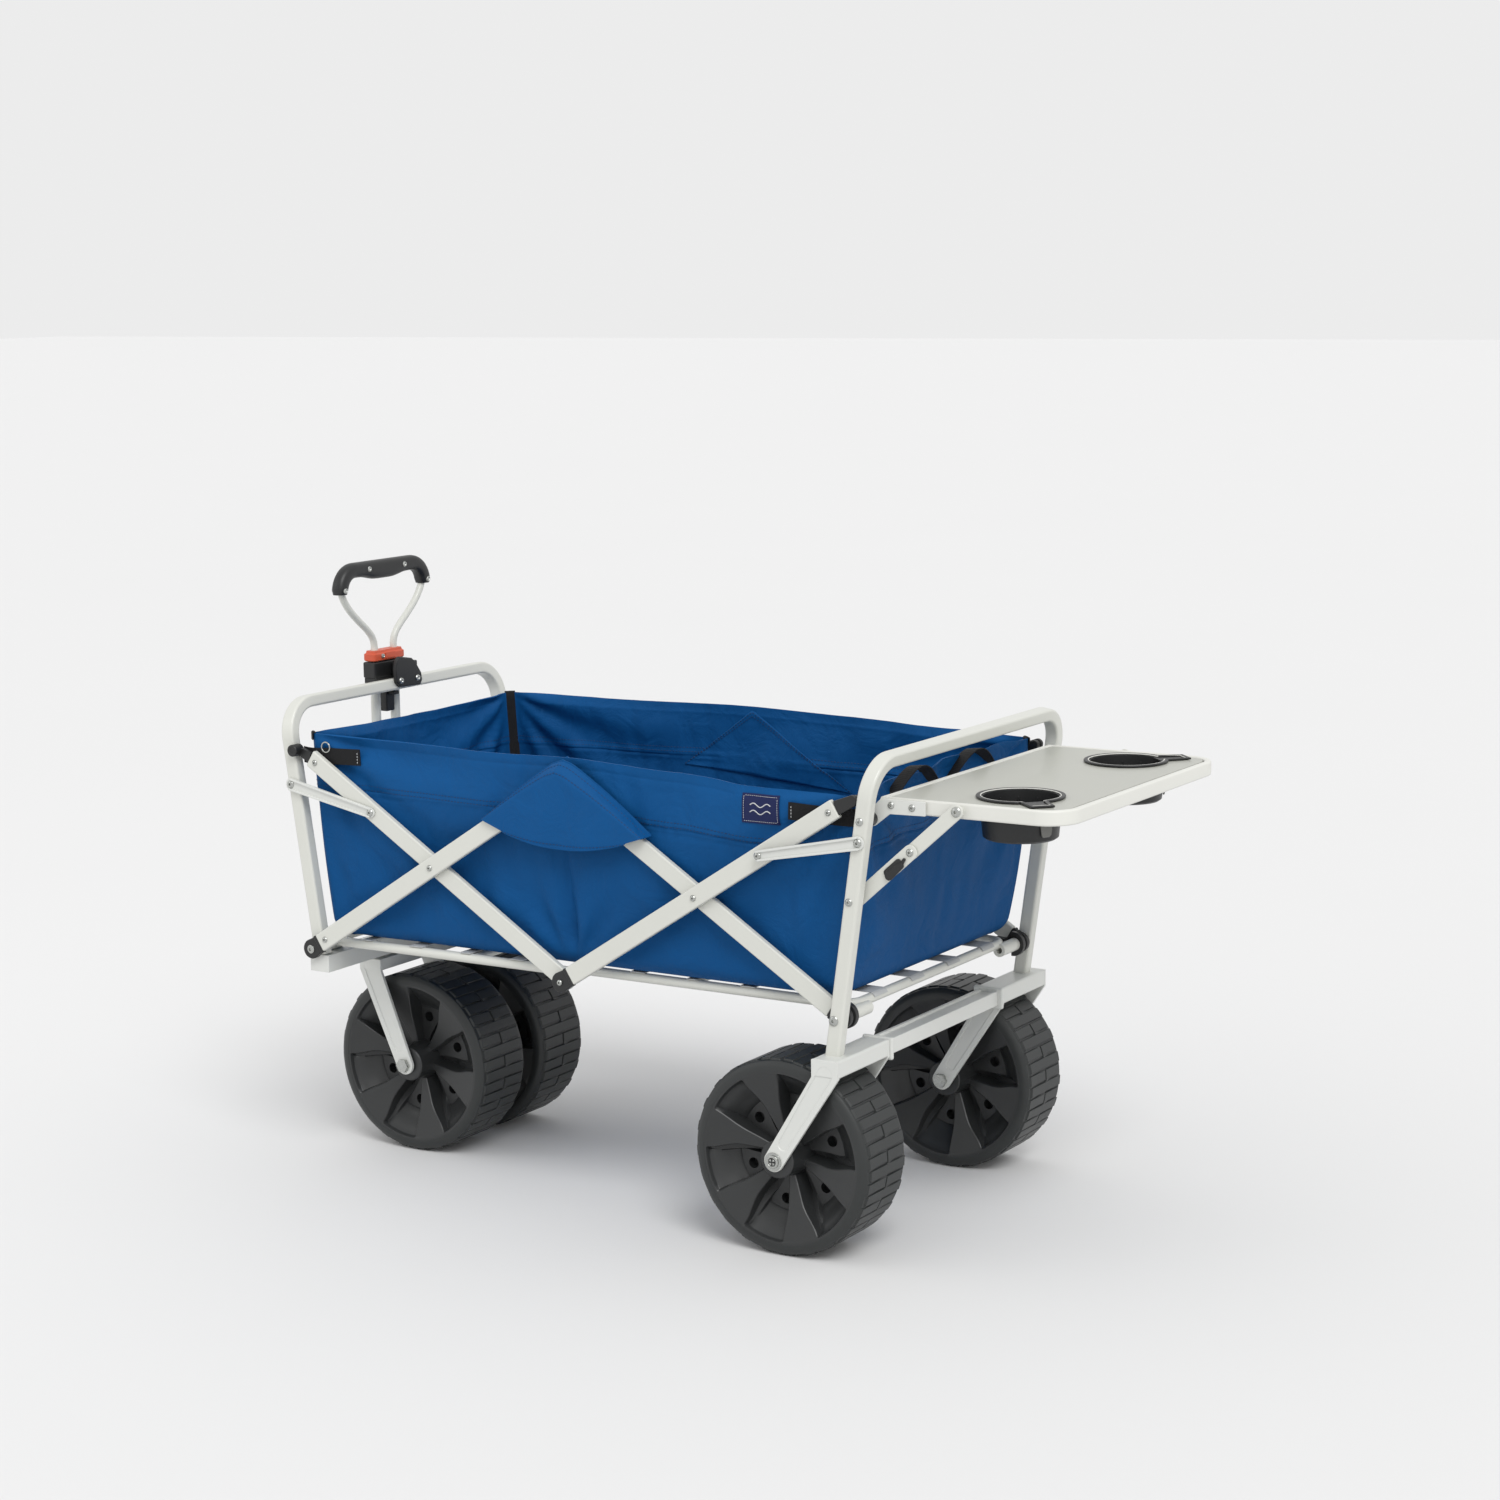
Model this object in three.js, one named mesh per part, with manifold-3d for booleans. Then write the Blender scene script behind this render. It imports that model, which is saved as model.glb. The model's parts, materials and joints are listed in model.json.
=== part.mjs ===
// A collapsible beach cart: two leaning tube frames joined by scissor side bars, a fabric tub,
// a fold-down side table with two cup holders, a telescoping pull handle and four wide wheels,
// the front two as a close pair under one swivelling fork.
// Millimetres, +Z up, +X towards the table, -X towards the pull handle, the floor at z = 0.
// The rear axle is at x = 0 while the parts are made; the last lines centre the cart on its box.
import * as THREE from "three";
import { mergeVertices } from "three/addons/utils/BufferGeometryUtils.js";
import Module from "manifold-3d";

const wasm = await Module();
wasm.setup();

// ---------------------------------------------------------------- driving dimensions

const gap = 0.35; // between pieces that rest on each other
const runningGap = 0.4; // radial, around a pin

// Wheels, 10 inches by 4
const wheelRadius = 127;
const wheelHalfWidth = 52;
const hubHalfWidth = 58;
const hubRadius = 24;
const boreRadius = 6.5;
const axleRadius = 6;
const rearWheelY = 221;
const frontWheelY = 71;
const frontAxleX = -697;

// Side bars: a scissor of four equal bars on each side
const barHalfLength = 246.9;
const openAngle = THREE.MathUtils.degToRad(32.4);
const pinHeight = 311;
const rearPinX = 76.3;
const barWidth = 25;
const innerBars = [237.8, 246.8]; // distances from the cart's middle plane
const outerBars = [247.6, 256.6];
const rivetRadius = 4;
const rivetHeadRadius = 6.5;
const rivetHeadHeight = 2.2;
const eyeRadius = 14;
const endTrim = 17; // from a pin to the end of the bar inside a plastic end fitting

// Tube frames
const tubeInPlane = 17;
const tubeAcross = 20;
const frameLean = 0.148; // sideways travel per unit of height
const rearLegY = 256;
const frontLegY = 238.8;
const rearLegX = 79; // at the height of the pins
const frontLegX = -752;
const rearTopHeight = 633;
const frontTopHeight = 644;
const cornerRadius = 46;

// Beams and forks
const rearBeam = { x: [60, 90], z: [243, 263] };
const crown = { x: [57, 93], z: [242, 264] };
const armThickness = 5;
const armEndRadius = 13.5;
const armGap = 2.5; // hub to fork arm
const frontBeam = { x: [-768, -736], z: [278, 302], halfLength: 246 };
const swivelX = -752;
const yokeCrown = { x: [-771, -734], z: [258, 274] };

// Floor rails
const railRadius = 6.5;
const railHeight = 318;
const rearRailY = 206;
const frontRailY = 222;

// Fabric tub
const fabric = {
  thick: 4,
  sideY: 229,
  bottom: 325.5,
  top: 603,
  rear: { x: 56, lean: 0.147 },
  front: { x: -734, lean: -0.137 },
};

// Table
const table = {
  x: [124, 375],
  halfWidth: 231,
  z: [571, 590],
  corner: 42,
  pivot: { x: 115, z: 563 },
  cupX: 276,
  cupY: 151,
  cupRadius: 50,
  cupBottom: 530,
  lipRadius: 57,
  lipDepth: 2,
};
const brace = { top: { x: 234, z: 581 }, foot: { x: 99, z: 462 }, upperShare: 0.456 };

// Pull handle
const handleX = -819;
const handleFoot = 290;
const handleTubeY = 22;
const outerTubeRadius = 7;
const innerTubeRadius = 5;
const outerTubeTop = 655;
const gripTop = 822;
const gripHalfWidth = 96;

// ---------------------------------------------------------------- materials

const finish = (color, roughness, metalness) =>
  new THREE.MeshStandardMaterial({ color, roughness, metalness });
const paint = finish(0xdcdcd2, 0.4, 0.1);
const blackPlastic = finish(0x17181a, 0.5, 0);
const wheelPlastic = finish(0x34373a, 0.6, 0);
const redPlastic = finish(0xc7472c, 0.45, 0);
const blueFabric = finish(0x1b5593, 0.85, 0);
const zinc = finish(0xb9bcbc, 0.35, 0.9);
const tableTop = finish(0xcfd0c8, 0.45, 0.1);

// ---------------------------------------------------------------- solid modelling helpers

// A closed three.js geometry as a manifold-3d solid, turned outwards if its faces point in.
function solid(geometry) {
  const bare = geometry.clone();
  bare.deleteAttribute("normal");
  bare.deleteAttribute("uv");
  const merged = mergeVertices(bare, 1e-3);
  const make = (triVerts) =>
    new wasm.Manifold(
      new wasm.Mesh({
        numProp: 3,
        vertProperties: new Float32Array(merged.attributes.position.array),
        triVerts,
      }),
    );
  const faces = new Uint32Array(merged.index.array);
  const made = make(faces);
  if (made.volume() >= 0) return made;
  for (let i = 0; i < faces.length; i += 3) [faces[i], faces[i + 1]] = [faces[i + 1], faces[i]];
  return make(faces);
}

const join = (...solids) => solids.reduce((whole, piece) => whole.add(piece));
const cut = (whole, ...tools) => tools.reduce((left, tool) => left.subtract(tool), whole);

const cart = new THREE.Group();

function add(name, made, material) {
  const mesh = made.getMesh();
  const geometry = new THREE.BufferGeometry();
  geometry.setAttribute("position", new THREE.BufferAttribute(mesh.vertProperties, 3));
  geometry.setIndex(new THREE.BufferAttribute(mesh.triVerts, 1));
  geometry.computeVertexNormals();
  const piece = new THREE.Mesh(geometry, material);
  piece.name = name;
  cart.add(piece);
}

// A box between two corners.
function block([x0, x1], [y0, y1], [z0, z1]) {
  const box = new THREE.BoxGeometry(x1 - x0, Math.abs(y1 - y0), z1 - z0);
  return solid(box.translate((x0 + x1) / 2, (y0 + y1) / 2, (z0 + z1) / 2));
}

// An outline in the XZ plane, made into a plate between two Y values.
function plate(outline, [y0, y1]) {
  const depth = Math.abs(y1 - y0);
  const made = new THREE.ExtrudeGeometry(outline, { depth, bevelEnabled: false, curveSegments: 6 });
  return solid(made.rotateX(Math.PI / 2).translate(0, Math.max(y0, y1), 0));
}

// A round bar along Y.
function pin(x, z, radius, [y0, y1], faces = 12) {
  const made = new THREE.CylinderGeometry(radius, radius, Math.abs(y1 - y0), faces);
  return solid(made.translate(x, (y0 + y1) / 2, z));
}

// A round bar along Z.
function post(x, y, radius, [z0, z1], faces = 16) {
  const made = new THREE.CylinderGeometry(radius, radius, z1 - z0, faces);
  return solid(made.rotateX(Math.PI / 2).translate(x, y, (z0 + z1) / 2));
}

// The outline of a strip from a to b in XZ, each end square or, if round, a half circle.
function strip(a, b, halfA, halfB, roundA = true, roundB = true) {
  const steps = 6;
  const heading = Math.atan2(b.z - a.z, b.x - a.x);
  const points = [];
  const end = (centre, half, start, round) => {
    for (let i = 0; i <= steps; i += round ? 1 : steps) {
      const angle = start + (Math.PI * i) / steps;
      const x = centre.x + half * Math.cos(angle);
      points.push(new THREE.Vector2(x, centre.z + half * Math.sin(angle)));
    }
  };
  end(b, halfB, heading - Math.PI / 2, roundB);
  end(a, halfA, heading + Math.PI / 2, roundA);
  return new THREE.Shape(points);
}

const between = (a, b, share) => ({ x: a.x + (b.x - a.x) * share, z: a.z + (b.z - a.z) * share });

function towards(a, b, distance) {
  return between(a, b, distance / Math.hypot(b.x - a.x, b.z - a.z));
}

// A curve through given points whose equal steps land on the points themselves.
class Through extends THREE.Curve {
  constructor(points) {
    super();
    this.points = points;
  }
  getPoint(t) {
    const place = t * (this.points.length - 1);
    const i = Math.min(Math.floor(place), this.points.length - 2);
    return this.points[i].clone().lerp(this.points[i + 1], place - i);
  }
  getPointAt(t) {
    return this.getPoint(t);
  }
  getTangentAt(t) {
    const last = this.points.length - 1;
    const i = Math.round(t * last);
    const before = this.points[Math.max(i - 1, 0)];
    const after = this.points[Math.min(i + 1, last)];
    return after.clone().sub(before).normalize();
  }
}

function sweep(points, section) {
  const extrudePath = new Through(points);
  const steps = points.length - 1;
  return solid(new THREE.ExtrudeGeometry(section, { steps, extrudePath, curveSegments: 1 }));
}

// Points of a path with its inner corners rounded, each by an arc of a few steps.
function rounded(corners, radius, steps = 4) {
  const points = [corners[0]];
  for (let i = 1; i < corners.length - 1; i++) {
    const corner = corners[i];
    const back = corners[i - 1].clone().sub(corner).normalize();
    const on = corners[i + 1].clone().sub(corner).normalize();
    const half = back.angleTo(on) / 2;
    const middle = back.clone().add(on).normalize();
    const centre = corner.clone().addScaledVector(middle, radius / Math.sin(half));
    const from = corner.clone().addScaledVector(back, radius / Math.tan(half)).sub(centre);
    const to = corner.clone().addScaledVector(on, radius / Math.tan(half)).sub(centre);
    const axis = from.clone().cross(to).normalize();
    const turn = from.angleTo(to);
    for (let s = 0; s <= steps; s++)
      points.push(from.clone().applyAxisAngle(axis, (turn * s) / steps).add(centre));
  }
  points.push(corners[corners.length - 1]);
  return points;
}

function roundedRectangle(width, height, radius) {
  const [w, h] = [width / 2, height / 2];
  const shape = new THREE.Shape();
  shape.moveTo(w - radius, -h);
  shape.absarc(w - radius, radius - h, radius, -Math.PI / 2, 0);
  shape.absarc(w - radius, h - radius, radius, 0, Math.PI / 2);
  shape.absarc(radius - w, h - radius, radius, Math.PI / 2, Math.PI);
  shape.absarc(radius - w, radius - h, radius, Math.PI, 1.5 * Math.PI);
  shape.closePath();
  return shape;
}

function circle(radius, faces = 10) {
  const points = [];
  for (let i = 0; i < faces; i++) {
    const angle = (2 * Math.PI * i) / faces;
    points.push(new THREE.Vector2(radius * Math.cos(angle), radius * Math.sin(angle)));
  }
  return new THREE.Shape(points);
}

const at = (x, y, z) => new THREE.Vector3(x, y, z);
const sides = [
  ["near", -1],
  ["far", 1],
];
// A range of distances from the middle plane, on one side of the cart.
const on = (side, [inner, outer]) => [side * inner, side * outer];

// ---------------------------------------------------------------- scissor geometry

const pinSpacing = 4 * barHalfLength * Math.cos(openAngle);
const topPinHeight = pinHeight + 2 * barHalfLength * Math.sin(openAngle);
const rearPin = { x: rearPinX, z: pinHeight };
const frontPin = { x: rearPinX - pinSpacing, z: pinHeight };
const middlePin = { x: rearPinX - pinSpacing / 2, z: pinHeight };
const rearTop = { x: rearPin.x, z: topPinHeight };
const frontTop = { x: frontPin.x, z: topPinHeight };
const middleTop = { x: middlePin.x, z: topPinHeight };
const rearCross = between(rearPin, middleTop, 0.5);
const frontCross = between(frontPin, middleTop, 0.5);

const rearLegAt = (z) => rearLegX + frameLean * (z - pinHeight);
const frontLegAt = (z) => frontLegX - frameLean * (z - pinHeight);

// ---------------------------------------------------------------- frames

function tubeFrame(legAt, legY, foot, top, holes) {
  const corners = [
    at(legAt(foot), -legY, foot),
    at(legAt(top), -legY, top),
    at(legAt(top), legY, top),
    at(legAt(foot), legY, foot),
  ];
  const section = roundedRectangle(tubeInPlane, tubeAcross, 5);
  const whole = sweep(rounded(corners, cornerRadius), section);
  const drills = holes.flatMap(({ x, z }) =>
    sides.map(([, side]) => pin(x, z, rivetRadius + runningGap, on(side, [legY - 12, legY + 12]))),
  );
  // the feet are cut level
  const cutter = block([corners[0].x - 60, corners[0].x + 60], [-300, 300], [foot - 60, foot]);
  return cut(whole, cutter, ...drills);
}

const rearLink = { foot: { x: rearPin.x + 37, z: pinHeight + 226 }, reach: 122 };
const frontLink = { foot: { x: frontPin.x - 31, z: pinHeight + 226 }, reach: 122 };

add(
  "rear_frame",
  tubeFrame(rearLegAt, rearLegY, crown.z[1] + gap, rearTopHeight, [
    rearPin,
    rearLink.foot,
    table.pivot,
    brace.foot,
  ]),
  paint,
);
add(
  "front_frame",
  tubeFrame(frontLegAt, frontLegY, frontBeam.z[1] + gap, frontTopHeight, [frontPin, frontLink.foot]),
  paint,
);

// ---------------------------------------------------------------- rear beam, forks and axles

const hubEnd = hubHalfWidth + armGap;
const rearArms = [rearWheelY - hubEnd, rearWheelY + hubEnd];

const rearBeamHalf = rearArms[0] - armThickness - gap;
add("rear_beam", block(rearBeam.x, [-rearBeamHalf, rearBeamHalf], rearBeam.z), paint);

for (const [name, side] of sides) {
  const inner = [rearArms[0] - armThickness, rearArms[0]];
  const outer = [rearArms[1], rearArms[1] + armThickness];
  const axle = { x: 0, z: wheelRadius };
  const head = { x: (crown.x[0] + crown.x[1]) / 2, z: (crown.z[0] + crown.z[1]) / 2 };
  const arm = strip(axle, head, armEndRadius, 17, true, false);
  const bore = pin(0, wheelRadius, axleRadius + 0.3, on(side, [rearArms[0] - 20, rearArms[1] + 20]));
  const top = block(crown.x, on(side, [inner[0], outer[1]]), crown.z);
  add(
    `rear_fork_${name}`,
    cut(join(top, plate(arm, on(side, inner)), plate(arm, on(side, outer))), bore),
    paint,
  );
  const shaft = pin(0, wheelRadius, axleRadius, on(side, [inner[0] - 7, outer[1] + 7]));
  const nut = pin(0, wheelRadius, 10, on(side, [inner[0] - 7, inner[0] - gap]), 6);
  const boltHead = pin(0, wheelRadius, 10, on(side, [outer[1] + gap, outer[1] + 6]), 6);
  add(`rear_axle_${name}`, join(shaft, nut, boltHead), zinc);
}

// ---------------------------------------------------------------- wheels

// Half of a wheel's outline, from its bore to its tread, as distances from the axis and from the
// wheel's middle: hub, dished face, rim lip and rounded tread edge.
const wheelOutline = [
  [boreRadius, hubHalfWidth],
  [hubRadius, hubHalfWidth],
  [hubRadius + 3, 31],
  [108, 40],
  [114, wheelHalfWidth],
  [122, wheelHalfWidth],
  [wheelRadius, 47],
];

function wheel(name, x, y) {
  const outer = wheelOutline.map(([r, h]) => new THREE.Vector2(r, h));
  const inner = wheelOutline.map(([r, h]) => new THREE.Vector2(r, -h)).reverse();
  const made = solid(new THREE.LatheGeometry([...outer, ...inner, outer[0]], 36));
  add(name, made.translate([x, y, wheelRadius]), wheelPlastic);
}

for (const [name, side] of sides) {
  wheel(`rear_wheel_${name}`, 0, side * rearWheelY);
  wheel(`front_wheel_${name}`, frontAxleX, side * frontWheelY);
}

// ---------------------------------------------------------------- front beam and caster fork

const stemRadius = 11;
const handleLug = { inner: 36, outer: 40 };

function frontBeamSolid() {
  const { x, z, halfLength } = frontBeam;
  const bar = block(x, [-halfLength, halfLength], z);
  const foot = { x: handleX, z: handleFoot };
  const lug = strip(foot, { x: x[0] + 6, z: handleFoot }, 9, 9, true, false);
  const lugs = sides.map(([, side]) => plate(lug, on(side, [handleLug.inner, handleLug.outer])));
  const hingePin = pin(foot.x, foot.z, rivetRadius, [-handleLug.outer, handleLug.outer]);
  const stemHole = post(swivelX, 0, stemRadius + 0.6, [z[0] - 5, z[1] + 5], 24);
  return cut(join(bar, ...lugs, hingePin), stemHole);
}
add("front_beam", frontBeamSolid(), paint);

const yokeArmY = frontWheelY + hubEnd;

function yoke() {
  const axle = { x: frontAxleX, z: wheelRadius };
  const head = { x: (yokeCrown.x[0] + yokeCrown.x[1]) / 2, z: yokeCrown.z[0] + 6 };
  const arm = strip(axle, head, armEndRadius, 17, true, false);
  const outer = sides.map(([, side]) => plate(arm, on(side, [yokeArmY, yokeArmY + armThickness])));
  const middle = plate(arm, [-armThickness / 2, armThickness / 2]);
  const reach = yokeArmY + armThickness;
  const top = block(yokeCrown.x, [-reach, reach], yokeCrown.z);
  const washer = post(swivelX, 0, 18, [yokeCrown.z[1] - 1, frontBeam.z[0] - gap], 24);
  const stem = post(swivelX, 0, stemRadius, [yokeCrown.z[1], frontBeam.z[1] + 4], 24);
  const cap = post(swivelX, 0, 16, [frontBeam.z[1] + gap, frontBeam.z[1] + 4], 24);
  const bore = pin(axle.x, axle.z, axleRadius + 0.3, [-reach - 5, reach + 5]);
  return join(cut(join(top, middle, ...outer), bore), washer, stem, cap);
}
add("caster_fork", yoke(), paint);

function frontAxle() {
  const end = yokeArmY + armThickness;
  const shaft = pin(frontAxleX, wheelRadius, axleRadius, [-end - 7, end + 7]);
  const heads = sides.map(([, side]) =>
    pin(frontAxleX, wheelRadius, 10, on(side, [end + gap, end + 6]), 6),
  );
  return join(shaft, ...heads);
}
add("front_axle", frontAxle(), zinc);

// ---------------------------------------------------------------- scissor bars

// A rivet on one bar that goes through the bar outside it.
function rivet(place, side, from, through) {
  const end = through + rivetHeadHeight;
  const shank = pin(place.x, place.z, rivetRadius, on(side, [from, end]));
  const head = pin(place.x, place.z, rivetHeadRadius, on(side, [through + gap, end]));
  return join(shank, head);
}

const hole = (place, side, radius = rivetRadius + runningGap) =>
  pin(place.x, place.z, radius, on(side, [innerBars[0] - 2, outerBars[1] + 2]));

const barMiddle = (innerBars[0] + innerBars[1]) / 2;

for (const [name, side] of sides) {
  const half = barWidth / 2;
  const outline = (from, to, trimFrom, trimTo) =>
    strip(
      trimFrom ? towards(from, to, endTrim) : from,
      trimTo ? towards(to, from, endTrim) : to,
      half,
      half,
      !trimFrom,
      !trimTo,
    );
  // rear pair: the inner bar is pinned to the rear leg, the outer one crosses it
  const rearInner = plate(outline(rearPin, middleTop, true, false), on(side, innerBars));
  add(
    `rear_inner_bar_${name}`,
    join(
      rearInner,
      rivet(rearCross, side, barMiddle, outerBars[1]),
      rivet(middleTop, side, barMiddle, outerBars[1]),
    ),
    paint,
  );
  const rearOuter = plate(outline(middlePin, rearTop, true, true), on(side, outerBars));
  add(`rear_outer_bar_${name}`, cut(rearOuter, hole(rearCross, side)), paint);
  // front pair: the inner bar is pinned at the middle, the outer one crosses it
  const frontInner = plate(outline(middlePin, frontTop, false, true), on(side, innerBars));
  add(
    `front_inner_bar_${name}`,
    join(
      frontInner,
      rivet(middlePin, side, barMiddle, outerBars[1]),
      rivet(frontCross, side, barMiddle, outerBars[1]),
    ),
    paint,
  );
  const frontOuter = plate(outline(frontPin, middleTop, true, false), on(side, outerBars));
  add(
    `front_outer_bar_${name}`,
    cut(frontOuter, hole(frontCross, side), hole(middleTop, side, rivetRadius + 1)),
    paint,
  );

  // plastic end fittings: an eye around the pin and a neck up to the end of the bar
  const fitting = (from, to, band) =>
    plate(strip(from, towards(from, to, endTrim - gap), eyeRadius, half, true, false), on(side, band));
  add(
    `rear_foot_fitting_${name}`,
    join(
      fitting(rearPin, middleTop, innerBars),
      pin(rearPin.x, rearPin.z, rivetRadius, on(side, [225, rearLegY + 11])),
      pin(rearPin.x, rearPin.z, rivetHeadRadius, on(side, [rearLegY + 9, rearLegY + 11])),
    ),
    blackPlastic,
  );
  add(
    `middle_fitting_${name}`,
    cut(fitting(middlePin, rearTop, outerBars), hole(middlePin, side)),
    blackPlastic,
  );
  add(
    `front_foot_fitting_${name}`,
    join(
      fitting(frontPin, middleTop, outerBars),
      pin(frontPin.x, frontPin.z, rivetRadius, on(side, [218, outerBars[1] + 2])),
      pin(frontPin.x, frontPin.z, rivetHeadRadius, on(side, [outerBars[1] - 1, outerBars[1] + 2])),
    ),
    blackPlastic,
  );
  // a hook at the top of each end that rests against its leg when the cart is open
  const rearHook = { x: rearTop.x + 21, z: rearTop.z + 9 };
  add(
    `rear_top_fitting_${name}`,
    join(
      fitting(rearTop, middlePin, outerBars),
      plate(strip(rearTop, rearHook, 12, 8), on(side, [innerBars[0] + 2, outerBars[1]])),
    ),
    blackPlastic,
  );
  const frontHook = { x: frontTop.x - 17, z: frontTop.z + 22 };
  add(
    `front_top_fitting_${name}`,
    join(
      fitting(frontTop, middlePin, innerBars),
      pin(frontTop.x, frontTop.z, 11, on(side, [innerBars[1] - 1, outerBars[1]])),
      plate(strip(frontTop, frontHook, 12, 10), on(side, [frontLegY + 8.6 + gap, outerBars[1]])),
    ),
    blackPlastic,
  );
}

// ---------------------------------------------------------------- links between legs and bars

for (const [name, side] of sides) {
  const half = 7;
  const rearFace = rearLegY + tubeInPlane / 2 + gap;
  const rearEnd = towards(rearCross, rearTop, rearLink.reach);
  const rearLinkSolid = join(
    plate(strip(rearLink.foot, rearEnd, half + 2, half), on(side, [rearFace, rearFace + 5])),
    pin(rearLink.foot.x, rearLink.foot.z, rivetRadius, on(side, [rearLegY - 6, rearFace + 6.5])),
    pin(rearEnd.x, rearEnd.z, 5.5, on(side, [outerBars[1] + gap, rearFace + 6.5])),
  );
  add(`rear_link_${name}`, rearLinkSolid, paint);

  const frontFace = frontLegY + tubeInPlane / 2 + gap;
  const frontEnd = towards(frontCross, frontTop, frontLink.reach);
  const frontLinkSolid = join(
    plate(strip(frontLink.foot, frontEnd, half + 2, half), on(side, [frontFace, frontFace + 5])),
    pin(frontLink.foot.x, frontLink.foot.z, rivetRadius, on(side, [frontLegY - 6, frontFace + 6.5])),
    pin(frontEnd.x, frontEnd.z, 5.5, on(side, [frontFace, frontFace + 6.5])),
  );
  add(`front_link_${name}`, frontLinkSolid, paint);
}

// ---------------------------------------------------------------- floor rails

// Half of the folding floor frame: a U of tube whose closed end turns on the frame's lowest pins.
function floorHalf(hinge, direction, railY, boss) {
  const turn = hinge.x - direction * 6;
  const tip = middlePin.x + direction * 8;
  const path = rounded(
    [
      at(tip, -railY, railHeight),
      at(turn, -railY, railHeight),
      at(turn, railY, railHeight),
      at(tip, railY, railHeight),
    ],
    22,
  );
  const crossX = hinge.x + (middlePin.x - hinge.x) * 0.6;
  const crossTube = pin(crossX, railHeight, railRadius - 1, [-railY, railY], 10);
  const bosses = sides.map(([, side]) => pin(hinge.x, hinge.z, 9, on(side, boss)));
  const bores = sides.map(([, side]) =>
    pin(hinge.x, hinge.z, rivetRadius + runningGap, on(side, [boss[1] - 25, boss[1] + 1])),
  );
  return cut(join(sweep(path, circle(railRadius)), crossTube, ...bosses), ...bores);
}
add("floor_rail_rear", floorHalf(rearPin, 1, rearRailY, [180, 237.4]), paint);
add("floor_rail_front", floorHalf(frontPin, -1, frontRailY, [192, 229.9]), paint);

// ---------------------------------------------------------------- fabric tub

const { thick, sideY } = fabric;
const wallX = (wall, z) => wall.x + wall.lean * (z - fabric.bottom);
const rearWallX = (z) => wallX(fabric.rear, z);
const frontWallX = (z) => wallX(fabric.front, z);

function polygon(points) {
  return new THREE.Shape(points.map(([x, z]) => new THREE.Vector2(x, z)));
}

// A side wall with its peaked flap, which folds over the top of the bars where they meet.
function sideWall(side) {
  const wall = polygon([
    [frontWallX(fabric.bottom), fabric.bottom],
    [rearWallX(fabric.bottom) + thick, fabric.bottom],
    [rearWallX(fabric.top) + thick, fabric.top],
    [frontWallX(fabric.top), fabric.top],
  ]);
  const { x } = middlePin;
  const flapTop = fabric.top - 4;
  const flap = polygon([
    [x + 12, flapTop],
    [x - 12, flapTop],
    [x - 92, 528],
    [x - 70, 505],
    [x, 494],
    [x + 85, 505],
    [x + 122, 520],
  ]);
  const flapY = outerBars[1] + 5;
  const bridge = block([x - 12, x + 12], on(side, [sideY, flapY + 3]), [flapTop - 4, flapTop]);
  return join(
    plate(wall, on(side, [sideY, sideY + thick])),
    plate(flap, on(side, [flapY, flapY + 3])),
    bridge,
  );
}
for (const [name, side] of sides) add(`fabric_side_${name}`, sideWall(side), blueFabric);

function endWall(wallAt) {
  const outline = polygon([
    [wallAt(fabric.bottom), fabric.bottom],
    [wallAt(fabric.bottom) + thick, fabric.bottom],
    [wallAt(fabric.top) + thick, fabric.top],
    [wallAt(fabric.top), fabric.top],
  ]);
  return plate(outline, [gap - sideY, sideY - gap]);
}
add("fabric_end_rear", endWall(rearWallX), blueFabric);
add("fabric_end_front", endWall(frontWallX), blueFabric);
add(
  "fabric_floor",
  block([fabric.front.x + thick + gap, fabric.rear.x - gap], [gap - sideY, sideY - gap], [
    fabric.bottom,
    fabric.bottom + thick,
  ]),
  blueFabric,
);

// ---------------------------------------------------------------- table

function tableSolid() {
  const { x, halfWidth, z, corner } = table;
  const outline = new THREE.Shape();
  outline.moveTo(x[0], -halfWidth);
  outline.lineTo(x[1] - corner, -halfWidth);
  outline.absarc(x[1] - corner, corner - halfWidth, corner, -Math.PI / 2, 0);
  outline.absarc(x[1] - corner, halfWidth - corner, corner, 0, Math.PI / 2);
  outline.lineTo(x[0], halfWidth);
  outline.closePath();
  const settings = { depth: z[1] - z[0], bevelEnabled: false, curveSegments: 6 };
  const board = solid(new THREE.ExtrudeGeometry(outline, settings).translate(0, 0, z[0]));
  // each cup's hole, and the recess round it that takes the cup's lip
  const cupHoles = sides.flatMap(([, side]) => [
    post(table.cupX, side * table.cupY, table.cupRadius + 1, [z[0] - 5, z[1] + 5], 24),
    post(table.cupX, side * table.cupY, table.lipRadius + 1, [z[1] - table.lipDepth, z[1] + 5], 24),
  ]);
  const pinHoles = sides.map(([, side]) =>
    pin(brace.top.x, brace.top.z, rivetRadius + runningGap, on(side, [halfWidth - 15, halfWidth + 2])),
  );
  return cut(board, ...cupHoles, ...pinHoles);
}
add("table_top", tableSolid(), tableTop);

for (const [name, side] of sides) {
  const { cupX, cupY, cupRadius, cupBottom, lipRadius, lipDepth, z } = table;
  const lip = z[1] - lipDepth + gap;
  const outline = [
    [0, cupBottom],
    [cupRadius - 3, cupBottom],
    [cupRadius, lip],
    [lipRadius, lip],
    [lipRadius - 1, z[1] + 3],
    [cupRadius - 2.5, z[1] + 3],
    [cupRadius - 5.5, cupBottom + 2.5],
    [0, cupBottom + 2.5],
  ].map(([r, h]) => new THREE.Vector2(r, h));
  const cup = new THREE.LatheGeometry(outline, 24).rotateX(Math.PI / 2);
  add(`cup_holder_${name}`, solid(cup.translate(cupX, side * cupY, 0)), blackPlastic);
}

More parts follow.
